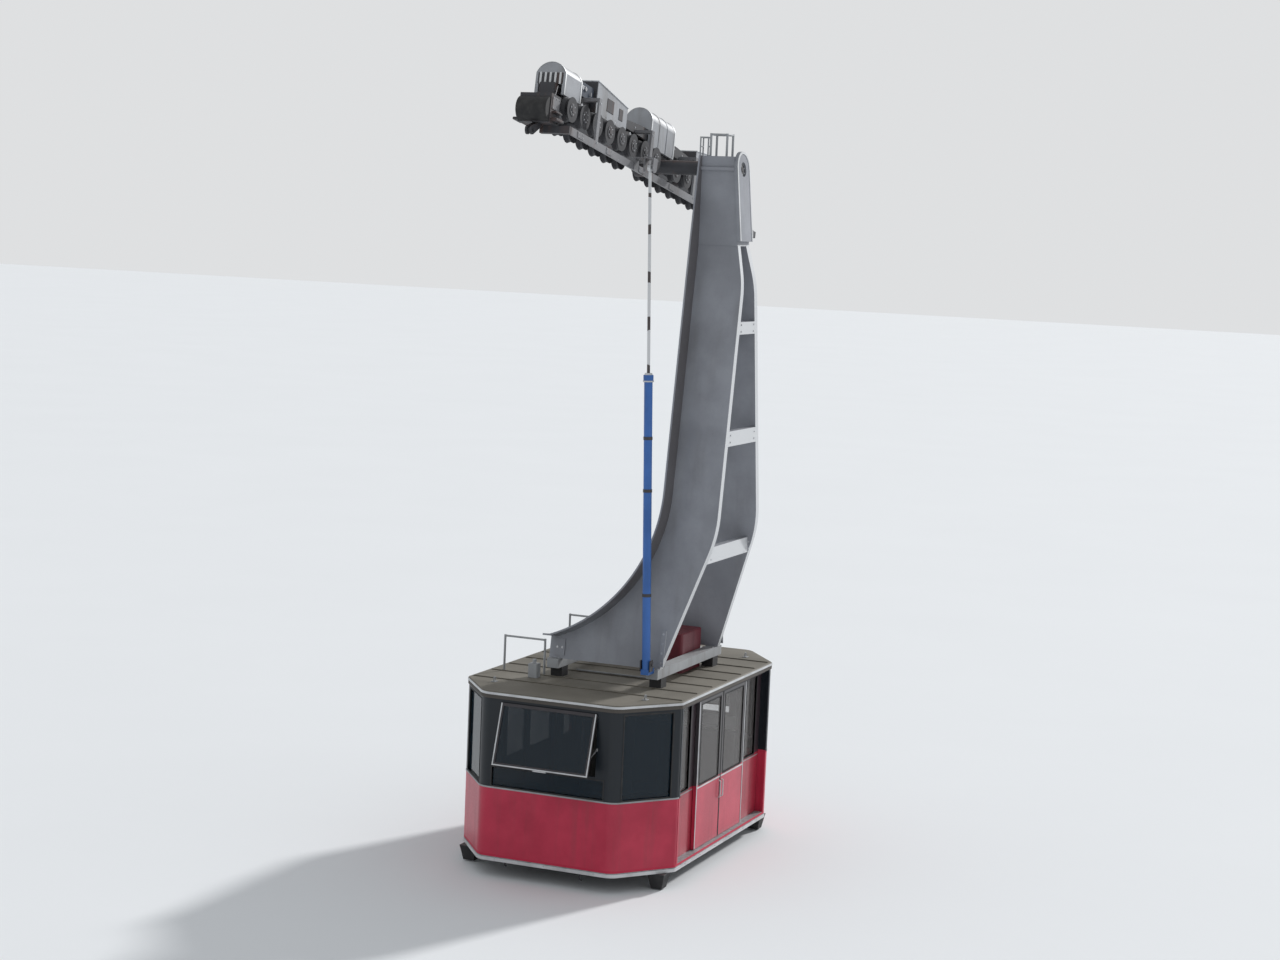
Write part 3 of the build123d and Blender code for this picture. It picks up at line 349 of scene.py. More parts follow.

# %% [markdown]
# The roof is walked on and rained on. Its sheet has gone olive brown, darker where water stands, with fine grit. Slow
# noise gives the stains and fast noise the grit. Below the rim's top, faces that look sideways or down are painted
# dark:
# this is painted shade under the roof's edge, and the way they face picks them out.

# %% Roof sheet
roof_rim_top = -7.351
roof = Finish("roof_sheet")
stain = roof.noise(0.9, 6.0)
grit = roof.noise(60.0, 4.0)
weathered = roof.mix(stain.between(0.3, 0.72), (0.125, 0.112, 0.088), (0.19, 0.172, 0.14))
gritty = roof.mix(grit.between(0.5, 0.8) * 0.35, weathered, (0.07, 0.062, 0.055))
# Painted shade: sideways and downward faces below the rim's top are darkened for the shade under the roof's edge.
rim = (1 - roof.facing("Z").between(-0.2, 0.3)) * (roof.axis("Z") < roof_rim_top)
roof.bump(grit, 0.0015, 0.5)
roof_sheet = roof.set(colour=roof.mix(rim, gritty, (0.03, 0.024, 0.026)), roughness=0.62 + grit * 0.25)

# %% [markdown]
# The floor's edge shows outside under the panels. It is red like them, down to the pale skirt band. On top it is bare
# metal, where a chequered sheet is walked on, and its underside is dark. One finish covers the part, split by the way
# each face looks.

# %% Floor sheet
skirt_band_top = -9.735
floor_finish = Finish("floor_sheet")
scuff = floor_finish.noise(14.0, 5.0)
walked_on = floor_finish.mix(scuff.between(0.4, 0.75), (0.30, 0.31, 0.32), (0.16, 0.16, 0.17))
with_underside = floor_finish.mix(floor_finish.facing("Z") < -0.5, walked_on, (0.06, 0.06, 0.065))
red_edge = (floor_finish.facing("Z").size() < 0.5) * (floor_finish.axis("Z") > skirt_band_top)
floor_finish.bump(scuff, 0.0006, 0.5)
floor_sheet = floor_finish.set(
    colour=floor_finish.mix(red_edge, with_underside, red), roughness=0.5 + scuff * 0.2, metallic=0.2
)

# %% [markdown]
# The damper's rod is ground steel. Grease rings from the tube's wiper have left dark marks at a few heights, so it
# looks banded from far away. Rings could be modelled as sleeves, but they have no thickness. A fraction of the height,
# shaken by noise so that no two are alike, paints them.

# %% Damper rod finish
rings_a_metre, ring_share, clean_above = 1.6, 0.28, -0.25
rod = Finish("rod_steel")
shaken_height = rod.axis("Z") + rod.noise(1.7, 1.0) * 0.5
marked = shaken_height.math("FRACT", shaken_height * rings_a_metre) < ring_share
rod_shade = rod.mix(marked * (rod.axis("Z") < clean_above), (0.62, 0.63, 0.64), (0.07, 0.06, 0.06))
rod_steel = rod.set(colour=rod_shade, roughness=0.3 + rod.noise(90.0, 2.0) * 0.2, metallic=0.3)

# %% [markdown]
# Glass. The end and corner windows are dark tinted acrylic. The door and side windows are clearer and let the far side
# show. Thin panes need no refraction: a gloss surface with part alpha looks right from both sides and exports well.

# %% Window glass
end_tint, end_alpha = (0.004, 0.014, 0.024), 0.72
side_tint, side_alpha = (0.17, 0.16, 0.155), 0.34
last_side_pane = 1.75
glass = Finish("window_glass")
wiping = glass.noise(5.0, 4.0, (1, 1, 0.4))
on_side = glass.axis("X").size() < last_side_pane
tint = glass.mix(on_side, end_tint, side_tint)
alpha = end_alpha + on_side * (side_alpha - end_alpha)
smeared = 0.05 + wiping.between(0.5, 0.9) * 0.12
window_glass = glass.set(colour=tint, roughness=smeared, alpha=alpha + wiping * 0.12, shine=0.36)
window_glass.surface_render_method = "BLENDED"

# %% [markdown]
# Each CAD node gets its finish. The nodes stay where they are and only change their material.

# %% Finishes for the CAD nodes
places = ("right_uphill", "right_downhill", "left_uphill", "left_downhill")


def coat_all(material, *names):
    """Give CAD nodes their finish."""
    for name in names:
        mesh = nodes[name].data
        mesh.materials.clear()
        mesh.materials.append(material)


coat_all(hood_paint, "end_hoods", "mid_hoods", "centre_hood")
coat_all(frame_paint, "main_beam", "half_beams", "four_axle_rockers", "two_axle_rockers", "end_blocks", "main_pin")
coat_all(keeper_paint, "keeper_beams", "damper_fork")
coat_all(wheel_metal, *[name for name in nodes if name.startswith("wheel_set")])
coat_all(nose_rubber, "end_noses")
coat_all(unit_paint, "damper_tube")
coat_all(tank_paint, "hydraulic_units")
coat_all(hanger_paint, "hanger_leg_uphill", "hanger_leg_downhill", "hanger_head", "hanger_ties")
coat_all(rod_steel, "damper_rod")
coat_all(rail_paint, "head_rail", "roof_rails", "foot_beams")
coat_all(mount_rubber, "roof_mounts", "corner_feet")
coat_all(cabin_paint, "end_shell_uphill", "end_shell_downhill")
coat_all(box_paint, "roof_equipment_box")
coat_all(wall_paint, "side_wall_right", "side_wall_left")
coat_all(door_paint, *[f"door_leaf_{place}" for place in places])
coat_all(roof_sheet, "cabin_roof")
coat_all(floor_sheet, "cabin_floor")
coat_all(track_metal, "door_tracks", "vent_frames")
coat_all(pole_steel, "cabin_poles")
coat_all(window_glass, "cabin_glass", "vent_panes", *[f"door_pane_{place}" for place in places])
print("finishes on", len(nodes), "CAD nodes")

# %% [markdown]
# Places. The pieces below sit where the CAD says, so their levels come from the CAD nodes' boxes. The carriage runs
# ten degrees off level. Its pieces could be written level and turned afterwards, but a finished piece stays unturned,
# so they are written in a frame of their own: along the carriage, across it, and up from it.

# %% Levels and the carriage's frame
eaves, roof_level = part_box("cabin_roof")[0].z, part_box("cabin_roof")[1].z
base, floor_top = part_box("cabin_floor")[0].z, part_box("cabin_floor")[1].z
foot_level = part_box("foot_beams")[1].z
end_face, side_face, recess_face, leaf_face = 2.70, 1.67, 1.545, 1.600
quarters = [(way, side) for way in (1, -1) for side in (1, -1)]
pin_height = 0.150
slope = math.radians(10)
along = Vector((math.cos(slope), 0, math.sin(slope)))
carriage_frame = axes_at(
    along * (pin_height * math.sin(slope)), along, (0, 1, 0), (-math.sin(slope), 0, math.cos(slope))
)
print("roof at", round(roof_level, 3), "floor at", round(floor_top, 3), "base at", round(base, 3))

# %% [markdown]
# Mesh helper. Most fittings here are folded sheet, bar and tube. Each is a chain of rings of points: two rings with
# caps make a block or a rod, many make a bent tube, and a chain that closes on itself makes a frame round a window.
# Blender's own cubes and cylinders would also do, but each would need turning, trimming and joining. One class
# gathers such solids in one bmesh, turns all faces outwards at the end and hands the piece to its body.


# %% Mesh helper
def spokes(way, sides, start=None):
    """Unit vectors at even steps around a direction."""
    start = way.orthogonal().normalized() if start is None else start
    other = way.cross(start)
    turns = [math.tau * step / sides for step in range(sides)]
    return [start * math.cos(turn) + other * math.sin(turn) for turn in turns]


class Piece:
    """A piece in the making: solids gathered in one mesh, for one body and one finish."""

    def __init__(self, name, body, slot, finish, place=None):
        self.name = name
        self.body = body
        self.slot = slot
        self.finish = finish
        self.place = place or Matrix()
        self.mesh = bmesh.new()

    def at(self, place):
        """Write the next solids in another frame."""
        self.place = place
        return self

    def chain(self, rings, closed=False):
        """A solid through rings of points, capped at both ends or closed on itself."""
        made = [[self.mesh.verts.new(self.place @ Vector(point)) for point in ring] for ring in rings]
        pairs = list(zip(made, made[1:]))
        if closed:
            pairs.append((made[-1], made[0]))
        for one, two in pairs:
            for index in range(len(one)):
                after = (index + 1) % len(one)
                self.mesh.faces.new((one[index], one[after], two[after], two[index]))
        if not closed:
            self.mesh.faces.new(made[0])
            self.mesh.faces.new(made[-1])
        return self

    def block(self, low, high, edge=0.002):
        """A block between two corners, with broken edges."""
        (x0, y0, z0), (x1, y1, z1) = [tuple(map(f, low, high)) for f in (min, max)]

        def ring(z, cut):
            a, b, c, d = x0 + cut, x1 - cut, y0 + cut, y1 - cut
            e = edge
            corners = [(a + e, c), (b - e, c), (b, c + e), (b, d - e), (b - e, d), (a + e, d), (a, d - e), (a, c + e)]
            return [(x, y, z) for x, y in corners]

        return self.chain([ring(z0, edge), ring(z0 + edge, 0), ring(z1 - edge, 0), ring(z1, edge)])

    def tube(self, points, radius, sides=12, closed=False):
        """A round bar through points; its rings lie on the mitres."""
        points = [Vector(point) for point in points]
        legs = [(after - before).normalized() for before, after in zip(points, points[1:] + points[:1])]
        rings = []
        for index, point in enumerate(points):
            coming = legs[index - 1] if index or closed else legs[0]
            going = legs[index] if index < len(points) - 1 or closed else coming
            way = (coming + going).normalized()
            side = way.orthogonal().normalized() if not rings else (side - way * side.dot(way)).normalized()
            spread = 1 / max(0.5, way.dot(coming))
            bend = (going - coming).normalized()
            reaches = [spoke * radius for spoke in spokes(way, sides, side)]
            rings.append([point + reach + bend * reach.dot(bend) * (spread - 1) for reach in reaches])
        return self.chain(rings, closed)

    def disc(self, centre, way, radius, thickness, sides=24):
        """A round plate that stands on centre and rises along way, with a broken edge."""
        way = Vector(way).normalized()
        rings = []
        for height, size in ((0, 1), (thickness * 0.75, 1), (thickness, 1 - 0.25 * thickness / radius)):
            spot = Vector(centre) + way * height
            rings.append([spot + spoke * radius * size for spoke in spokes(way, sides)])
        return self.chain(rings)

    def rim(self, half_width, low, high, width, back, front):
        """A mitred frame round an opening in the piece's local x and y, from back to front in z."""
        middle, half_height = (low + high) / 2, (high - low) / 2
        rings = []
        for x, y in ((-1, -1), (1, -1), (1, 1), (-1, 1)):
            near = (x * half_width, middle + y * half_height)
            far = (x * (half_width + width), middle + y * (half_height + width))
            rings.append([(*near, back), (*far, back), (*far, front), (*near, front)])
        return self.chain(rings, closed=True)

    def band(self, line, low, high, depth, sink=0.001, closed=False):
        """A flat strip that stands on a line of (point, outward) pairs, between two levels."""
        rings = []
        for (x, y), (nx, ny) in line:
            inner = (x - nx * sink, y - ny * sink)
            outer = (x + nx * depth, y + ny * depth)
            rings.append([(*inner, low), (*outer, low), (*outer, high), (*inner, high)])
        return self.chain(rings, closed)

    def as_mesh(self):
        """The solids as mesh data, with every face turned outwards."""
        bmesh.ops.recalc_face_normals(self.mesh, faces=self.mesh.faces)
        data = bpy.data.meshes.new(self.name)
        self.mesh.to_mesh(data)
        self.mesh.free()
        return data

    def done(self):
        """Close the mesh, make the object and give it to its body."""
        bmesh.ops.remove_doubles(self.mesh, verts=self.mesh.verts, dist=1e-6)
        data = self.as_mesh()
        data.materials.append(self.finish)
        data.polygons.foreach_set("use_smooth", [True] * len(data.polygons))
        data.set_sharp_from_angle(angle=math.radians(32))
        made = put(self.name, data)
        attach(made, self.body)


def wall_frame(origin, outward):
    """A frame on a wall: local x across, local y up the wall, local z outwards."""
    outward = Vector(outward).normalized()
    across = Vector((0, 0, 1)).cross(outward).normalized()
    return axes_at(origin, across, outward.cross(across), outward)


# %% [markdown]
# The cabin's plan, as a line that strips and rails can follow. It is the octagon of the walls with its rounded
# corners. Each point is kept together with the way the wall faces there, so that a strip knows where outside is.


# %% Cabin outline
def end_line(way, grow=0.0, steps=5):
    """Points round one end of the cabin, from recess to recess, each with its outward direction."""
    half = [(1.885, side_face, 0.08), (end_face, 1.03, 0.22)]
    corners = half + [(x, -y, radius) for x, y, radius in reversed(half)]
    spots = [Vector(corner[:2]) for corner in corners]
    stops = [Vector((recess_half_length, side_face)), *spots, Vector((recess_half_length, -side_face))]
    line = [(stops[0], Vector((0, 1)))]
    for before, corner, after, (_, _, radius) in zip(stops, stops[1:], stops[2:], corners):
        first = (corner - before).normalized().orthogonal()
        last = (after - corner).normalized().orthogonal()
        centre = corner - (first + last) * (radius / (1 + first.dot(last)))
        for step in range(steps + 1):
            facing = first.lerp(last, step / steps).normalized()
            line.append((centre + facing * radius, facing))
    line.append((stops[-1], Vector((0, -1))))
    return [(tuple((point + facing * grow) * way), tuple(facing * way)) for point, facing in line]


whole_line = end_line(1) + end_line(-1)
print("outline of", len(whole_line), "points")

# %% [markdown]
# Pale aluminium strips hold the cabin's panels. A skirt band closes the floor's edge, a thin line runs under the
# windows, a gutter bead runs round the roof's rim, and an angle profile covers each corner of the recessed sides.
# Swept curves would also do. Bands on the outline keep the strips' sharp edges and cost few faces.

# %% Trim strips
strips = Piece("cabin_strips", "cabin", "floor_sheet", trim_metal)
strips.band(whole_line, base + 0.003, base + 0.052, 0.008, closed=True)
roof_line = end_line(1, 0.015) + end_line(-1, 0.015)
strips.band(roof_line, roof_level - 0.046, roof_level - 0.013, 0.007, closed=True)
strips.done()

belts = Piece("belt_strips", "cabin", "rail_paint", rail_paint)
profiles = Piece("corner_profiles", "cabin", "cabin_paint", cabin_paint)
for way in (1, -1):
    belts.band(end_line(way), base + 1.056, base + 1.078, 0.006)
for way, side in quarters:
    profiles.block((way * 1.798, side * 1.668, floor_top), (way * 1.846, side * 1.676, eaves - 0.002))
    profiles.block((way * 1.792, side * 1.630, floor_top), (way * 1.801, side * 1.672, eaves - 0.002))
    belts.block((way * 1.000, side * 1.544, base + 1.000), (way * 1.790, side * 1.549, base + 1.016))
belts.done()
profiles.done()
print("strips on the cabin")

# %% [markdown]
# Rubber seals. Each fixed pane is held by a black rubber profile that stands a few millimetres proud of the panel. It
# is a mitred frame of four bars, written flat and set on its wall.

# %% Window seals
seals = Piece("window_seals", "cabin", "mount_rubber", mount_rubber)
for way in (1, -1):
    seals.at(wall_frame((way * end_face, 0, base), (way, 0, 0))).rim(0.860, 1.100, 1.365, 0.018, -0.025, 0.005)
for way, side in quarters:
    corner_wall = wall_frame((way * 2.2925, side * 1.35, base), (way * 0.64, side * 0.815, 0))
    side_wall = wall_frame((way * 1.39, side * recess_face, base), (0, side, 0))
    seals.at(corner_wall).rim(0.390, 1.100, 2.300, 0.020, -0.025, 0.005)
    seals.at(side_wall).rim(0.220, 1.05, 2.27, 0.018, -0.025, 0.004)
seals.done()
print("seals round 10 panes")

# %% [markdown]
# The vents. Each end has a large top-hung pane that stands open. A light strip edges its sides and its lower rail,
# and two gas struts hold it. The strips are written in the tilted pane's own frame, so its angle appears only once.

# %% Vent strips and struts
vent_strips = Piece("vent_strips", "cabin", "floor_sheet", trim_metal)
vent_struts = Piece("vent_struts", "cabin", "pole_steel", pole_steel)
vent_tilt = math.radians(17)
foot_half = Vector((0.006, 0.012, 0.02))
for way in (1, -1):
    vent_facing = Vector((way * math.cos(vent_tilt), 0, math.sin(vent_tilt)))
    vent_frame = wall_frame((way * (end_face + 0.0003), 0, base + 2.30), vent_facing)
    vent_strips.at(vent_frame)
    vent_strips.block((-0.715, -0.888, 0.028), (0.715, -0.870, 0.035))
    vent_strips.block((-0.10, -0.905, 0.006), (0.10, -0.886, 0.026))
    for side in (1, -1):
        vent_strips.block((side * 0.715, -0.888, 0.028), (side * 0.733, -0.002, 0.035))
        foot = Vector((way * (end_face - 0.001), side * 0.745, base + 1.80))
        head = vent_frame @ Vector((side * way * 0.745, -0.60, 0.012))
        vent_struts.tube([foot, foot.lerp(head, 0.55)], 0.011).tube([foot.lerp(head, 0.5), head], 0.006)
        vent_struts.block(foot - foot_half, foot + foot_half)
vent_strips.done()
vent_struts.done()
print("vents dressed")

# %% [markdown]
# Door trims. Every leaf carries a pale stile on its outer edge, a soft rubber lip where two leaves meet, a seal round
# its pane, a strip below it and a grab bar. They ride on the leaf, so they slide with it. Each could be an object of
# its own, but one mesh for each finish keeps the list of pieces short.

# %% Door leaf trims
for place in places:
    side = 1 if place.startswith("right") else -1
    way = 1 if place.endswith("uphill") else -1
    leaf = f"door_{place}"
    top = base + 2.288
    bar_line = [(leaf_face - 0.002, 0.70), (1.632, 0.715), (1.632, 0.945), (leaf_face - 0.002, 0.96)]
    strip = Piece(f"leaf_strips_{place}", leaf, "door_paint", trim_metal)
    strip.block((way * 0.951, side * 1.599, base + 0.112), (way * 0.975, side * 1.606, top))
    strip.block((way * 0.024, side * 1.599, base + 1.000), (way * 0.950, side * 1.604, base + 1.022))
    strip.tube([(way * 0.055, side * y, base + z) for y, z in bar_line], 0.009)
    strip.done()
    lips = Piece(f"leaf_seals_{place}", leaf, "mount_rubber", mount_rubber)
    lips.block((way * 0.0015, side * 1.556, base + 0.115), (way * 0.020, side * 1.603, top))
    pane_frame = wall_frame((way * 0.48, side * leaf_face, base), (0, side, 0))
    lips.at(pane_frame).rim(0.385, 1.05, 2.23, 0.016, -0.022, 0.004)
    lips.done()
print("trims on", len(places), "door leaves")

# %% [markdown]
# Inside the cabin, seen through the glass: a pale ceiling with two rows of lamp covers, rails to hold on to along the
# windows and overhead, and a desk for the controls. The rails follow the same outline as the strips, moved inwards.

# %% Ceiling and lamps
lining_finish = Finish("ceiling_lining")
lining_finish.bump(lining_finish.noise(300.0, 2.0), 0.0003, 0.4)
cloudy = lining_finish.mix(lining_finish.noise(2.0), (0.42, 0.42, 0.41), (0.50, 0.50, 0.49))
lining_finish.set(colour=cloudy, roughness=0.6)
lamp_finish = Finish("lamp_cover")
ripple = lamp_finish.noise(80.0, 2.0, (0.1, 1, 1))
lamp_finish.bump(ripple, 0.0006, 0.5)
lamp_finish.set(colour=lamp_finish.mix(ripple, (0.72, 0.72, 0.70), (0.80, 0.80, 0.78)), roughness=0.35)
ceiling = Piece("ceiling_lining", "cabin", "hood_paint", lining_finish.material)
lamp_covers = Piece("ceiling_lamps", "cabin", "window_glass", lamp_finish.material)
for x in (-1.17, 0, 1.17):
    for side in (1, -1):
        ceiling.block((x - 0.575, side * 0.02, eaves - 0.022), (x + 0.575, side * 1.36, eaves - 0.001))
        lamp_covers.block((x - 0.45, side * 0.62, eaves - 0.050), (x + 0.45, side * 0.76, eaves - 0.021), 0.008)
ceiling.done()
lamp_covers.done()

# %% Rails and desk
rails = Piece("cabin_rails", "cabin", "pole_steel", pole_steel)
for way in (1, -1):
    rail_line = end_line(way, -0.13)
    rails.tube([(x, y, base + 1.16) for (x, y), _ in rail_line[1:-1]], 0.016)
    for index in (4, 9, 16, 21):
        (x, y), (nx, ny) = rail_line[index]
        rails.tube([(x, y, base + 1.155), (x + nx * 0.075, y + ny * 0.075, base + 1.12)], 0.009)
rails.tube([(-1.62, 0, eaves - 0.30), (1.62, 0, eaves - 0.30)], 0.015)
for x in (-1.5, -0.5, 0.5, 1.5):
    rails.disc((x, 0, floor_top), (0, 0, 1), 0.045, 0.008)
    rails.disc((x, 0, eaves - 0.001), (0, 0, -1), 0.045, 0.008)
rails.done()

desk = Piece("attendant_desk", "cabin", "frame_paint", frame_paint)
desk.block((2.20, -0.62, floor_top), (2.50, -0.28, floor_top + 0.92), 0.01)
desk_top = [(2.17, base + 1.02), (2.53, base + 1.02), (2.53, base + 1.14), (2.17, base + 1.06)]
desk.chain([[(x, y, z) for x, z in desk_top] for y in (-0.66, -0.24)])
desk.done()
print("cabin fitted out inside")

# %% [markdown]
# A row of copies. Ribs, slats and seams are one shape repeated at an even step. An array modifier would do the same,
# but a Geometry Nodes tree can be handed any shape: it puts it on the points of a line and makes real mesh of the
# copies. Its inputs are named, and they are set on the modifier by their identifiers before the object is evaluated.


# %% Row tree
def geometry_tree(name, sockets):
    """A Geometry Nodes tree with a geometry in and out and the named inputs."""
    tree = bpy.data.node_groups.new(name, "GeometryNodeTree")
    tree.interface.new_socket("Geometry", in_out="INPUT", socket_type="NodeSocketGeometry")
    for label, kind in sockets.items():
        tree.interface.new_socket(label, in_out="INPUT", socket_type=kind)
    tree.interface.new_socket("Geometry", in_out="OUTPUT", socket_type="NodeSocketGeometry")
    graph = Graph(tree)
    entry = tree.nodes.new("NodeGroupInput")
    return graph, {socket.name: Wire(graph, socket) for socket in entry.outputs if socket.name}


def close_tree(graph, geometry, material):
    """End a tree: real mesh, its finish, and the output."""
    real = graph.node("GeometryNodeRealizeInstances", None, {"Geometry": geometry})
    coated = graph.node("GeometryNodeSetMaterial", None, {"Geometry": real, "Material": material})
    graph.feed(graph.tree.nodes.new("NodeGroupOutput").inputs[0], coated)


row_sockets = {"Count": "NodeSocketInt", "Step": "NodeSocketVector", "Finish": "NodeSocketMaterial"}
row_graph, row_in = geometry_tree("row_of_copies", row_sockets)
line_inputs = {"Count": row_in["Count"], "Offset": row_in["Step"]}
row_line = row_graph.node("GeometryNodeMeshLine", {"mode": "OFFSET"}, line_inputs)
copy_inputs = {"Points": row_line, "Instance": row_in["Geometry"]}
close_tree(row_graph, row_graph.node("GeometryNodeInstanceOnPoints", None, copy_inputs), row_in["Finish"])


# %% Grow a row
def grown(tree, source, name, body, slot, **inputs):
    """Run a tree on a source mesh and keep the result as a plain mesh piece."""
    modifier = source.modifiers.new("grow", "NODES")
    modifier.node_group = tree
    for socket in tree.interface.items_tree:
        if socket.in_out == "INPUT" and socket.name in inputs:
            modifier[socket.identifier] = inputs[socket.name]
    ready = source.evaluated_get(bpy.context.evaluated_depsgraph_get())
    data = bpy.data.meshes.new_from_object(ready)
    data.name = name
    source.modifiers.clear()
    bpy.data.objects.remove(source)
    made = put(name, data)
    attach(made, body)


def row(name, body, slot, finish, count, step, build, place=None):
    """One solid from build, repeated count times at a step."""
    seed = Piece(name + "_one", body, slot, finish, place)
    build(seed)
    source = put(seed.name, seed.as_mesh())
    step = seed.place.to_3x3() @ Vector(step)
    grown(row_graph.tree, source, name, body, slot, Count=count, Step=tuple(step), Finish=finish)


def mat_rib(one):
    one.block((-1.74, -1.36, floor_top), (1.74, -1.324, floor_top + 0.006), 0.001)


def roof_seam(one):
    one.block((-1.812, -1.64, roof_level - 0.001), (-1.788, 1.64, roof_level + 0.014), 0.003)


row("floor_mat_ribs", "cabin", "mount_rubber", mount_rubber, 57, (0, 0.048, 0), mat_rib)
row("roof_seams", "cabin", "roof_sheet", roof_sheet, 7, (0.6, 0, 0), roof_seam)
print("rows grown: mat ribs and roof seams")

# %% [markdown]
# On the roof: a hatch with its handle and hinges, lifting eyes, a lamp box beside the hanger's toe, and a conduit from
# the equipment box to the hanger. Below the skirt hang short hooks for the station's guides, and pads carry the feet.
# All are blocks and bent bars with few faces, so the mesh helper makes them, and no modifier is needed.

# %% Roof fittings
fittings = Piece("roof_fittings", "cabin", "rail_paint", rail_paint)
fittings.block((-2.30, -0.36, roof_level - 0.001), (-1.60, 0.36, roof_level + 0.045), 0.008)
fittings.block((-2.26, -0.32, roof_level + 0.044), (-1.64, 0.32, roof_level + 0.060), 0.006)
hatch_handle = [(-0.10, 0.058), (-0.10, 0.095), (0.10, 0.095), (0.10, 0.058)]
fittings.tube([(-1.75, y, roof_level + z) for y, z in hatch_handle], 0.008)
for y in (-0.22, 0.22):
    fittings.block((-2.31, y - 0.05, roof_level + 0.020), (-2.27, y + 0.05, roof_level + 0.066))
for way, side in quarters:
    spot = Vector((way * 2.05, side * 1.18, roof_level))
    fittings.block(spot - Vector((0.05, 0.035, 0.001)), spot + Vector((0.05, 0.035, 0.010)))
    eye_spokes = spokes(Vector((0, -1, 0)), 12, Vector((1, 0, 0)))
    fittings.tube([spot + Vector((0, 0, 0.040)) + spoke * 0.032 for spoke in eye_spokes], 0.008, 8, closed=True)
fittings.block((1.34, -0.92, roof_level - 0.001), (1.48, -0.78, roof_level + 0.21), 0.006)
fittings.tube([(1.41, -0.85, roof_level + 0.20), (1.41, -0.85, roof_level + 0.27)], 0.03)
conduit = [(-0.10, 0.60), (0.62, 0.60), (0.62, -0.52)]
fittings.tube([(x, y, roof_level + 0.03) for x, y in conduit], 0.012)
fittings.done()

# %% Skirt hooks
hooks = Piece("skirt_hooks", "cabin", "mount_rubber", frame_paint)
for way in (1, -1):
    for y, drop in ((-0.62, 0.045), (0.55, 0.085)):
        hooks.tube([(way * 2.66, y, base + 0.002), (way * 2.66, y, base - drop)], 0.011)
        hooks.tube([(way * 2.66, y, base - drop), (way * 2.62, y, base - drop - 0.02)], 0.011)
        hooks.block((way * 2.63, y - 0.04, base - 0.008), (way * 2.69, y + 0.04, base + 0.001))
for way, side in quarters:
    x, y = way * 2.0, side * 1.48
    hooks.block((x - 0.13, y - 0.13, base - 0.012), (x + 0.13, y + 0.13, base + 0.001))
hooks.done()
print("fittings on the roof and under the skirt")

# %% [markdown]
# The hanger's fittings. Shoe plates spread the legs on the beams, a cable duct follows the edge of the downhill leg,
# pale edge strips frame the head's outer plate with the pin's cover in its opening, and two hoops guard its top. The
# legs lean, so a frame that leans with a leg lets its fittings be written straight.

# %% Hanger fittings
hanger_spread, hanger_height = 1.170, 7.210
lean = math.atan2(hanger_spread, hanger_height)
leg_length = hanger_height / math.cos(lean)


def leg_frame(way):
    """Frame of a leg: local x is +Y, local y runs up the leg from the pin, local z points away from the other leg."""
    upward = Vector((-way * math.sin(lean), 0, math.cos(lean)))
    outward = Vector((way * math.cos(lean), 0, math.sin(lean)))
    return axes_at((0, 0, pin_height), (0, 1, 0), upward, outward)


plates = Piece("hanger_plates", "cabin", "hanger_paint", hanger_paint)
for way in (1, -1):
    plates.at(leg_frame(way))
    plates.block((1.02, 0.030 - leg_length, 0.059), (1.10, -6.75, 0.074))
    plates.block((-0.62, 0.030 - leg_length, 0.059), (-0.46, -7.02, 0.074))
plates.done()

# %% Cable duct
sweep_radius = 2.360
sweep_level = sweep_radius * math.sin(math.radians(70)) - (hanger_height - 0.330) / math.cos(lean)
duct_radius = sweep_radius + 0.125
duct_line = [(1.075, -0.95, 0.075), (1.075, -5.0, 0.075)]
for angle in range(4, 64, 6):
    turn = math.radians(angle)
    x = 0.95 - sweep_radius + duct_radius * math.cos(turn)
    duct_line.append((x, sweep_level - duct_radius * math.sin(turn), 0.075))
Piece("hanger_duct", "cabin", "hanger_paint", hanger_paint, leg_frame(-1)).tube(duct_line, 0.014, 8).done()

# %% Head plate and hoops
head_lean = math.atan2(0.100, 1.100)
plate_frame = wall_frame((0, 1.480, pin_height), (0, math.cos(head_lean), math.sin(head_lean)))
arch = [(math.cos(math.radians(angle)), math.sin(math.radians(angle))) for angle in range(0, 181, 12)]


def plate_outline(radius):
    """The head plate's outline: straight sides under a half circle."""
    return [(radius, -1.035), *[(radius * c, radius * s) for c, s in arch], (-radius, -1.035)]


pairs = zip(plate_outline(0.26), plate_outline(0.225))
edging = Piece("head_edging", "cabin", "hanger_paint", trim_metal, plate_frame)
edging.chain([[(*far, 0.048), (*near, 0.048), (*near, 0.057), (*far, 0.057)] for far, near in pairs])
edging.done()
pin_cover = Piece("pin_cover", "cabin", "steel", frame_paint, plate_frame)
pin_cover.disc((0, 0, 0.012), (0, 0, 1), 0.098, 0.016, 32).disc((0, 0, 0.027), (0, 0, 1), 0.035, 0.010)
pin_cover.done()
hoops = Piece("head_hoops", "cabin", "rail_paint", rail_paint)
for x in (-0.055, 0.055):
    hoops.tube([(x, 0.985, 0.325), (x, 0.985, 0.60), (x, 0.865, 0.60), (x, 0.865, 0.225)], 0.011)
for y in (0.985, 0.865):
    hoops.tube([(-0.055, y, 0.47), (0.055, y, 0.47)], 0.010)
hoops.done()
print("hanger dressed")

# %% [markdown]
# The swing damper. Its tube stands in two cheeks with a pin, and has clamp bands and a pale wiper ring on top. The
# bands are open rings and not discs, because the rod slides through the tube behind them.

# %% Damper fittings
damper_foot = Vector((1.45, 0.93, foot_level))
damper_way = (Vector((1.45, 0.66, 0.102)) - damper_foot).normalized()


def damper_ring(piece, low, high, inner, outer, top=None, sides=32):
    """A ring round the damper between two distances up from its foot; top is its outer radius at the upper end."""
    corners = ((low, outer), (high, top or outer), (high, inner), (low, inner))
    round_it = spokes(damper_way, sides, Vector((1, 0, 0)))
    piece.chain([[damper_foot + damper_way * h + spoke * r for h, r in corners] for spoke in round_it], closed=True)


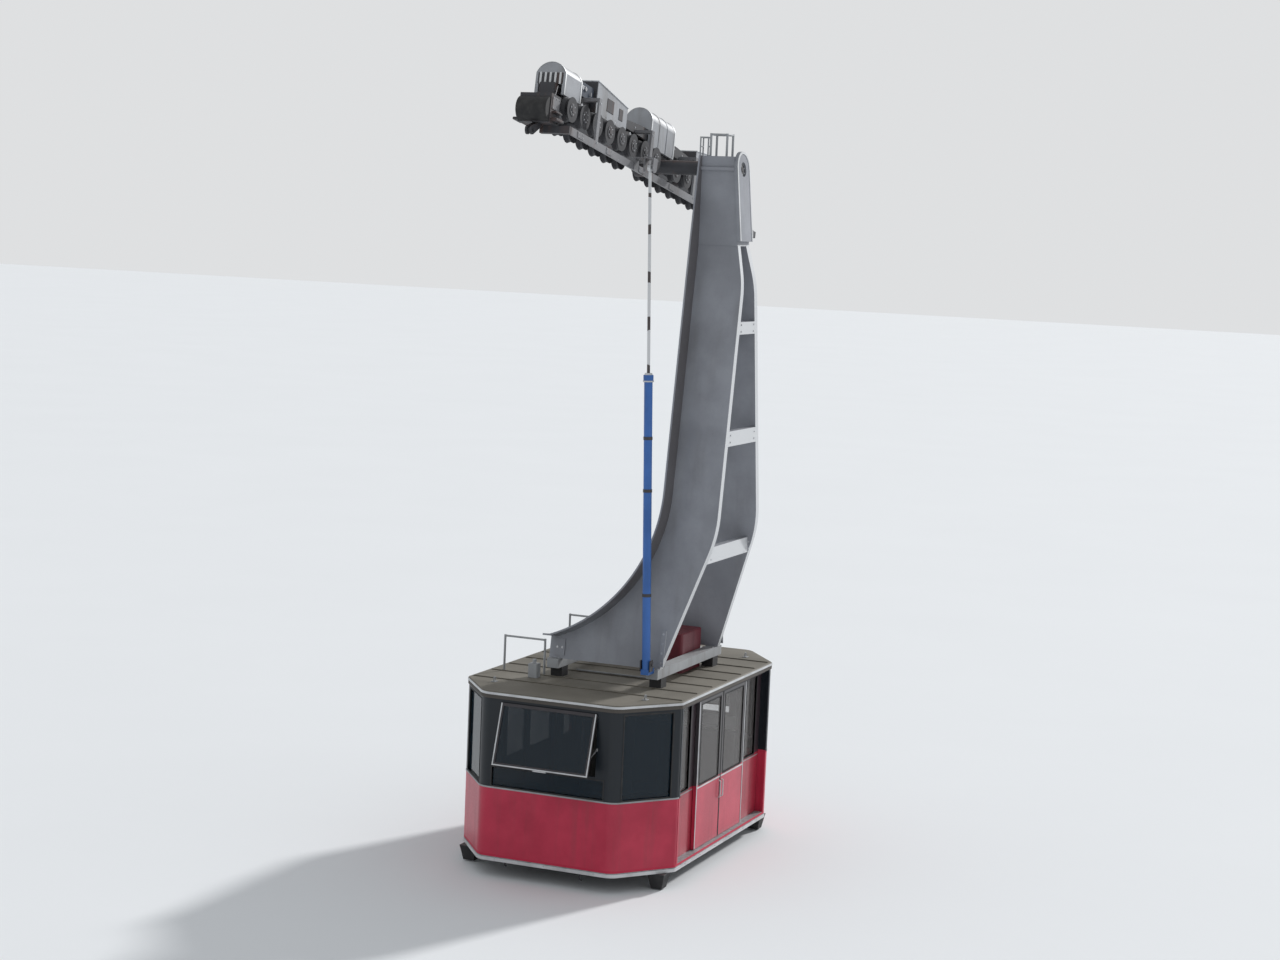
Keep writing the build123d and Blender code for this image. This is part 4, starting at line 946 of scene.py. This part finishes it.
cheeks = Piece("damper_cheeks", "cabin", "rail_paint", frame_paint)
for side in (1, -1):
    cheeks.block((1.39, 0.93 + side * 0.066, foot_level - 0.001), (1.51, 0.93 + side * 0.080, foot_level + 0.16), 0.004)
cheeks.tube([(1.45, 0.835, foot_level + 0.10), (1.45, 1.025, foot_level + 0.10)], 0.020, 16)
for height in (1.10, 2.60, 3.35):
    damper_ring(cheeks, height - 0.0225, height + 0.0225, 0.050, 0.066)
cheeks.done()
wiper = Piece("damper_wiper", "cabin", "hood_paint", trim_metal)
damper_ring(wiper, 4.15, 4.17, 0.060, 0.078)
damper_ring(wiper, 4.2497, 4.2777, 0.0285, 0.060, top=0.050, sides=24)
wiper.done()
print("damper dressed")

# %% [markdown]
# The carriage's hoods. Bright edge strips follow the arches of the round hoods, and two ribs stiffen the middle one.
# The wedge hoods have dark ends, side hatches and a bright top sheet, which is a painted highlight of their sunlit top.
# The outermost ends are slatted for air. A strip is a chain over the arch, worked out from the arch's own radius, so
# that it lies on the sheet all the way.


# %% Hood edges
def arch_strip(piece, s, width, top, shoulder, grow=0.0):
    """A strip over a hood's arch at a station along the carriage."""
    half_width, skirt = 0.215, 0.360
    rise = top - shoulder
    radius = (half_width**2 + rise**2) / (2 * rise)
    sweep = math.asin(half_width / radius)
    line = [(half_width, skirt, Vector((1, 0))), (half_width, shoulder, Vector((1, 0.6)).normalized())]
    for step in range(1, 12):
        angle = sweep * (1 - 2 * step / 12)
        out = Vector((math.sin(angle), math.cos(angle)))
        line.append((radius * out.x, top - radius + radius * out.y, out))
    line += [(-half_width, shoulder, Vector((-1, 0.6)).normalized()), (-half_width, skirt, Vector((-1, 0)))]
    rings = []
    for y, t, out in line:
        far = (y + out.x * (0.006 + grow), t + out.y * (0.006 + grow))
        near = (y - out.x * 0.004, t - out.y * 0.004)
        rings.append([(s, *near), (s, *far), (s + width, *far), (s + width, *near)])
    piece.chain(rings)


edges = Piece("hood_edges", "carriage", "hood_paint", trim_metal, carriage_frame)
for s in (3.040, 3.570, -3.070, -3.600):
    arch_strip(edges, s, 0.03, 0.800, 0.650)
for s in (-0.470, 0.440):
    arch_strip(edges, s, 0.03, 0.920, 0.740)
edges.done()

# %% Hood sheets and hatches
# Painted highlight: the top sheets are pale where the hoods' sunlit tops look bright.
top_sheets = Piece("hood_top_sheets", "carriage", "hood_paint", bright_paint, carriage_frame)
dark_ends = Piece("hood_dark_ends", "carriage", "frame_paint", frame_paint, carriage_frame)
hatches = Piece("hood_hatches", "carriage", "frame_paint", frame_paint, carriage_frame)
top_section = [(1.39, 0.689), (2.51, 0.811), (2.51, 0.821), (1.39, 0.699)]
for way in (1, -1):
    top_sheets.chain([[(way * s, y, t) for s, t in top_section] for y in (-0.226, 0.226)])
    for s, half_width, low, high in (
        (2.499, 0.205, 0.375, 0.800), (1.394, 0.205, 0.375, 0.680),
        (3.599, 0.185, 0.505, 0.655), (3.034, 0.185, 0.505, 0.655),
    ):
        dark_ends.block((way * s, -half_width, low), (way * (s + 0.007), half_width, high))
    for side in (1, -1):
        hatches.block((way * 1.90, side * 0.213, 0.48), (way * 2.14, side * 0.221, 0.66), 0.003)
        hatches.block((way * 1.56, side * 0.213, 0.46), (way * 1.70, side * 0.221, 0.62), 0.003)
top_sheets.done()
dark_ends.done()
hatches.done()


# %% Hood ribs and slats
def hood_slat(way):
    """What builds one slat, on the end that looks this way."""
    return lambda one: one.block((way * 3.604, -0.159, 0.500), (way * 3.614, -0.129, 0.660))


def hood_rib(one):
    arch_strip(one, -0.161, 0.022, 0.920, 0.740, 0.001)


for way, label in ((1, "uphill"), (-1, "downhill")):
    name = f"hood_slats_{label}"
    row(name, "carriage", "hood_paint", trim_metal, 5, (0, 0.072, 0), hood_slat(way), carriage_frame)
row("centre_hood_ribs", "carriage", "hood_paint", hood_paint, 2, (0.30, 0, 0), hood_rib, carriage_frame)
print("hoods dressed")

# %% [markdown]
# Along the carriage: discs that keep the rocker pins, pipes from the hydraulic units to the brakes in the end blocks,
# caps and gauges on the units, guide shoes and covers on the blocks, and splices on the keeper beam. The two halves of
# the carriage mirror each other, so each fitting is written once and its place is multiplied by the way and the side.

# %% Pin keepers
keepers = Piece("pin_keepers", "carriage", "steel", steel, carriage_frame)
rocker_pins = [(s, 0.30, 0.145, 0.036) for s in (0.64, 1.52, 2.40, 3.28)]
rocker_pins += [(1.08, 0.38, 0.145, 0.040), (2.84, 0.38, 0.145, 0.040), (1.96, 0.45, 0.160, 0.050)]
for way, side in quarters:
    for s, t, y, radius in rocker_pins:
        keepers.disc((way * s, side * (y - 0.001), t), (0, side, 0), radius, 0.012)
keepers.disc((0, -0.197, 0.1477), (0, -1, 0), 0.085, 0.014, 32)
keepers.done()

# %% Pipes, caps and gauges
pipes = Piece("brake_pipes", "carriage", "steel", pole_steel, carriage_frame)
caps = Piece("unit_caps", "carriage", "unit_paint", tank_paint, carriage_frame)
gauges = Piece("unit_gauges", "carriage", "steel", steel, carriage_frame)
for way in (1, -1):
    for y, t in ((0.119, 0.470), (-0.119, 0.470), (-0.119, 0.440)):
        pipe_line = [(2.74, 0.515), (2.74, t), (3.60, t), (3.66, 0.30), (3.70, 0.27)]
        pipes.tube([(way * s, y, level) for s, level in pipe_line], 0.008, 8)
    caps.disc((way * 2.69, 0.06, 0.694), (0, 0, 1), 0.045, 0.045)
    caps.disc((way * 2.85, -0.05, 0.694), (0, 0, 1), 0.070, 0.080, 32)
    caps.disc((way * 2.85, -0.05, 0.773), (0, 0, 1), 0.028, 0.020)
    gauges.disc((way * 2.92, 0.169, 0.620), (0, 1, 0), 0.032, 0.018)
    gauges.disc((way * 2.82, 0.169, 0.620), (0, 1, 0), 0.032, 0.018)
    gauges.tube([(way * 2.66, 0.169, 0.56), (way * 2.66, 0.190, 0.56), (way * 2.66, 0.190, 0.61)], 0.008, 8)
pipes.done()
caps.done()
gauges.done()

# %% Shoes, covers and splices
shoes = Piece("rope_shoes", "carriage", "frame_paint", frame_paint, carriage_frame)
covers = Piece("block_covers", "carriage", "frame_paint", keeper_paint, carriage_frame)
splices = Piece("keeper_splices", "carriage", "keeper_paint", keeper_paint, carriage_frame)
splice_stations = (1.20, 2.40, 3.40)
for way, side in quarters:
    shoes.block((way * 3.72, side * 0.228, -0.070), (way * 3.96, side * 0.322, -0.034), 0.006)
    shoes.block((way * 3.74, side * 0.228, 0.036), (way * 3.94, side * 0.300, 0.060), 0.006)
    covers.block((way * 3.73, side * 0.229, 0.085), (way * 3.95, side * 0.237, 0.255), 0.003)
for way in (1, -1):
    covers.block((way * 3.72, -0.19, 0.289), (way * 3.94, 0.19, 0.297), 0.003)
for s in (0, *splice_stations, *[-station for station in splice_stations]):
    splices.block((s - 0.10, 0.434, -0.190), (s + 0.10, 0.442, -0.110), 0.002)
shoes.done()
covers.done()
splices.done()
print("carriage dressed")

# %% [markdown]
# Each wheel set turns, so its hub plates and caps are pieces of their own that ride on it. The middle of the wheel
# set's box is its axle.

# %% Wheel hubs
plate_face, cap_face, bolt_face, bolt_circle = 0.3245, 0.3310, 0.3312, 0.065
hub_centres = []
for number in range(1, 17):
    body = f"wheel_set_{number:02d}"
    low_corner, high_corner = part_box(body)
    axle = (low_corner + high_corner) / 2
    hub_centres.append((body, axle))
    hub = Piece(f"hub_plates_{number:02d}", body, "wheel_metal", frame_paint)
    for side in (1, -1):
        hub.disc((axle.x, side * plate_face, axle.z), (0, side, 0), 0.088, 0.007)
        hub.disc((axle.x, side * cap_face, axle.z), (0, side, 0), 0.040, 0.009)
    hub.done()
print("hubs on", len(hub_centres), "wheel sets")

# %% [markdown]
# Bolts. There are hundreds, so one Geometry Nodes tree grows them: every point of a bare mesh carries the direction
# that its bolt faces and its size, and the tree sets a hexagon head on a washer there, turned by a seeded amount as a
# spanner leaves it. Linked copies would be quicker to place, but the export drops instances, so the tree makes them
# real. The bolts of one body become one mesh.

# %% Bolt tree
bolt_sockets = {"Head Size": "NodeSocketFloat", "Seed": "NodeSocketInt", "Finish": "NodeSocketMaterial"}
bolt_graph, bolt_in = geometry_tree("bolts", bolt_sockets)
join = bolt_graph.tree.nodes.new("GeometryNodeJoinGeometry")
for sides, radius, depth, height in ((6, 1.0, 0.7, 0.5), (14, 1.35, 0.2, 0.08)):
    sizes = {"Vertices": sides, "Radius": radius, "Depth": depth}
    solid = bolt_graph.node("GeometryNodeMeshCylinder", {"fill_type": "NGON"}, sizes)
    lifted = {"Geometry": solid, "Translation": (0, 0, height)}
    bolt_graph.feed(join.inputs[0], bolt_graph.node("GeometryNodeTransform", None, lifted))


def point_value(name, kind):
    """A value that every point of the mesh carries."""
    return bolt_graph.node("GeometryNodeInputNamedAttribute", {"data_type": kind}, {"Name": name})


facing = {"Vector": point_value("facing", "FLOAT_VECTOR")}
aim = bolt_graph.node("FunctionNodeAlignRotationToVector", {"axis": "Z"}, facing)
full_turn = {"Min": 0.0, "Max": 6.28, "Seed": bolt_in["Seed"]}
roll = bolt_graph.node("FunctionNodeRandomValue", {"data_type": "FLOAT"}, full_turn, output=1)
spin = bolt_graph.node("ShaderNodeCombineXYZ", None, {"Z": roll})
turns = {"Rotation": aim, "Rotate By": spin}
heads = {
    "Points": bolt_in["Geometry"],
    "Instance": Wire(bolt_graph, join.outputs[0]),
    "Rotation": bolt_graph.node("FunctionNodeRotateRotation", {"rotation_space": "LOCAL"}, turns),
    "Scale": point_value("size", "FLOAT") * bolt_in["Head Size"],
}
close_tree(bolt_graph, bolt_graph.node("GeometryNodeInstanceOnPoints", None, heads), bolt_in["Finish"])

# %% [markdown]
# Where the bolts sit. Covers, splices, shoes and hub plates show them in rows and circles. They could be placed by
# eye in the viewport, but rows written as numbers stay with the piece that they hold. Their order matters too: the
# tree's random turn goes by a point's number in its list.

# %% Bolts on wheels and carriage
bolts = {}


def bolt(body, spot, way, size, place=Matrix()):
    """Note one bolt for a body, in a frame."""
    way = place.to_3x3() @ Vector(way)
    bolts.setdefault(body, []).append((tuple(place @ Vector(spot)), tuple(way), size))


for body, axle in hub_centres:
    for side in (1, -1):
        for step in range(6):
            angle = math.radians(60 * step + 30)
            out, up = bolt_circle * math.cos(angle), bolt_circle * math.sin(angle)
            spot = (axle.x + out, side * bolt_face, axle.z + up)
            bolt(body, spot, (0, side, 0), 0.009)

# Station along the carriage, distance across it, level and size of each bolt that both sides have
side_bolts = [(s, 0.2365, t, 0.009) for s in (3.75, 3.84, 3.93) for t in (0.105, 0.235)]
side_bolts += [(s, 0.215, 0.39, 0.008) for s in (3.08, 3.32, 3.56, 1.46, 1.78, 2.12, 2.44)]
side_bolts += [(s, 0.215, 0.40, 0.008) for s in (0.42, 0.18)]
side_bolts += [(0.30, 0.160, 0.545, 0.011), (0.62, 0.160, 0.545, 0.011), (0.95, 0.160, 0.520, 0.011)]
for way in (1, -1):
    for side in (1, -1):
        for s, y, t, size in side_bolts:
            bolt("carriage", (way * s, side * y, t), (0, side, 0), size, carriage_frame)
    for s in splice_stations:
        for shift in (-0.07, 0.07):
            for t in (-0.172, -0.128):
                bolt("carriage", (way * s + shift, 0.4418, t), (0, 1, 0), 0.008, carriage_frame)
    for s in (0.90, 2.85):
        for t in (0.42, -0.12):
            bolt("carriage", (way * s, 0.435, t), (0, 1, 0), 0.012, carriage_frame)
print("places noted for", sum(map(len, bolts.values())), "bolts on the carriage")

# %% Bolts on hanger and cabin
shoe_bolts = [(1.06, y) for y in (-7.22, -7.08, -6.94, -6.80)] + [(-0.58, -7.15), (-0.50, -7.15)]
beam_bolts = [(x, y + shift) for y in (0.960, -0.610) for x in (0.98, 1.235) for shift in (-0.065, 0.065)]
for way in (1, -1):
    for x, y in shoe_bolts:
        bolt("cabin", (x, y, 0.0735), (0, 0, 1), 0.013, leg_frame(way))
    for x, y in beam_bolts:
        bolt("cabin", (way * x, y, foot_level), (0, 0, 1), 0.014)
    for y in (-0.77, 0, 0.77):
        bolt("cabin", (way * 2.708, y, base + 0.036), (way, 0, 0), 0.007)
for x in (-1.5, -0.9, -0.3, 0.3, 0.9, 1.5):
    for side in (1, -1):
        bolt("cabin", (x, side * 1.678, base + 0.036), (0, side, 0), 0.007)
        bolt("cabin", (x, side * 1.608, eaves - 0.026), (0, side, 0), 0.006)
knee_drop, knee_set_back = 5.25, 0.65
tie_face = 1.700
low_tie_share = (5.56 - knee_drop) / (hanger_height - knee_drop)
low_tie_face = tie_face - low_tie_share * knee_set_back - 0.006
for drop, half, face in ((2.28, 0.26, tie_face), (3.87, 0.50, tie_face), (5.56, 0.78, low_tie_face)):
    for way in (1, -1):
        for z in (-0.05, 0.05):
            bolt("cabin", (way * half, face, pin_height - drop + z), (0, 1, 0), 0.011)
for angle in range(15, 375, 60):
    turn = math.radians(angle)
    bolt("cabin", (0.075 * math.cos(turn), 0.075 * math.sin(turn), 0.0275), (0, 0, 1), 0.010, plate_frame)

# %% [markdown]
# Now the lists become meshes. Each body gets one mesh of bare points, with the direction and the size as named values
# on them, and the tree turns it into that body's bolts.

# %% Grow the bolts
for body, marks in bolts.items():
    data = bpy.data.meshes.new(f"bolt_points_{body}")
    data.from_pydata([spot for spot, _, _ in marks], [], [])
    way_layer = data.attributes.new("facing", "FLOAT_VECTOR", "POINT")
    way_layer.data.foreach_set("vector", [part for _, way, _ in marks for part in way])
    size_layer = data.attributes.new("size", "FLOAT", "POINT")
    size_layer.data.foreach_set("value", [size for _, _, size in marks])
    points = put(data.name, data)
    inputs = {"Head Size": 1.0, "Seed": 7, "Finish": steel}
    grown(bolt_graph.tree, points, f"bolts_{body}", body, "steel", **inputs)
print("bolts grown for", len(bolts), "bodies,", sum(map(len, bolts.values())), "in all")

# %% [markdown]
# Floor. The cabin hangs, so a plain pale floor lies just under its rubber feet to catch a soft shadow. It is staged:
# it belongs to the picture and not to the object.

# %% Floor
floor_level = cad_low.z - 0.02
reach = 240.0
floor_corners = [(x * reach, y * reach, floor_level) for x, y in ((-1, -1), (1, -1), (1, 1), (-1, 1))]
floor_mesh = bpy.data.meshes.new("studio_floor")
floor_mesh.from_pydata(floor_corners, [], [(0, 1, 2, 3)])
floor = put("studio_floor", floor_mesh)
studio = Finish("studio_floor")
studio_shade = studio.mix(studio.noise(0.2, 3.0), (0.80, 0.81, 0.82), (0.83, 0.84, 0.85))
floor_mesh.materials.append(studio.set(colour=studio_shade, roughness=0.9))
floor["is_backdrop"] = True

# %% [markdown]
# Light and backdrop. One broad lamp stands behind the cabin and to the right, so that the hanger shades the near part
# of the roof and its outer edges stay bright, as in the photograph. The world fills the rest. Rays from the camera,
# from gloss and through glass see a pale backdrop; the light itself stays level.

# %% Light
lamp_data = bpy.data.lights.new("window_light", "SUN")
lamp_data.energy = 2.7
lamp_data.angle = math.radians(5)
lamp = put("window_light", lamp_data)
lamp_from = Vector((-0.80, 0.31, 0.42))
lamp.rotation_mode = "QUATERNION"
lamp.rotation_quaternion = lamp_from.to_track_quat("Z", "Y")

world = bpy.data.worlds.new("studio")
world.use_nodes = True
scene.world = world
sky = Graph(world.node_tree)
sky.tree.nodes.clear()
fill = sky.node("ShaderNodeBackground", None, {"Color": (0.92, 0.96, 1.0), "Strength": 0.58})
shown = sky.node("ShaderNodeBackground", None, {"Color": (0.80, 0.81, 0.82), "Strength": 0.92})
kinds = ("Is Camera Ray", "Is Glossy Ray", "Is Transmission Ray")
seen, gloss, through = (sky.node("ShaderNodeLightPath", output=kind) for kind in kinds)
either = seen.math("MAXIMUM", seen, gloss)
backdrop = sky.node("ShaderNodeMixShader", None, {0: either.math("MAXIMUM", either, through), 1: fill, 2: shown})
sky.feed(sky.tree.nodes.new("ShaderNodeOutputWorld").inputs["Surface"], backdrop)
scene.view_settings.view_transform = "Standard"
print("light from", tuple(lamp_from))

# %% [markdown]
# Sizes. The size of the dressed model is printed, as the CAD box was at the start.

# %% Finish
low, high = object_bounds()
print("dressed box from", tuple(low), "to", tuple(high))
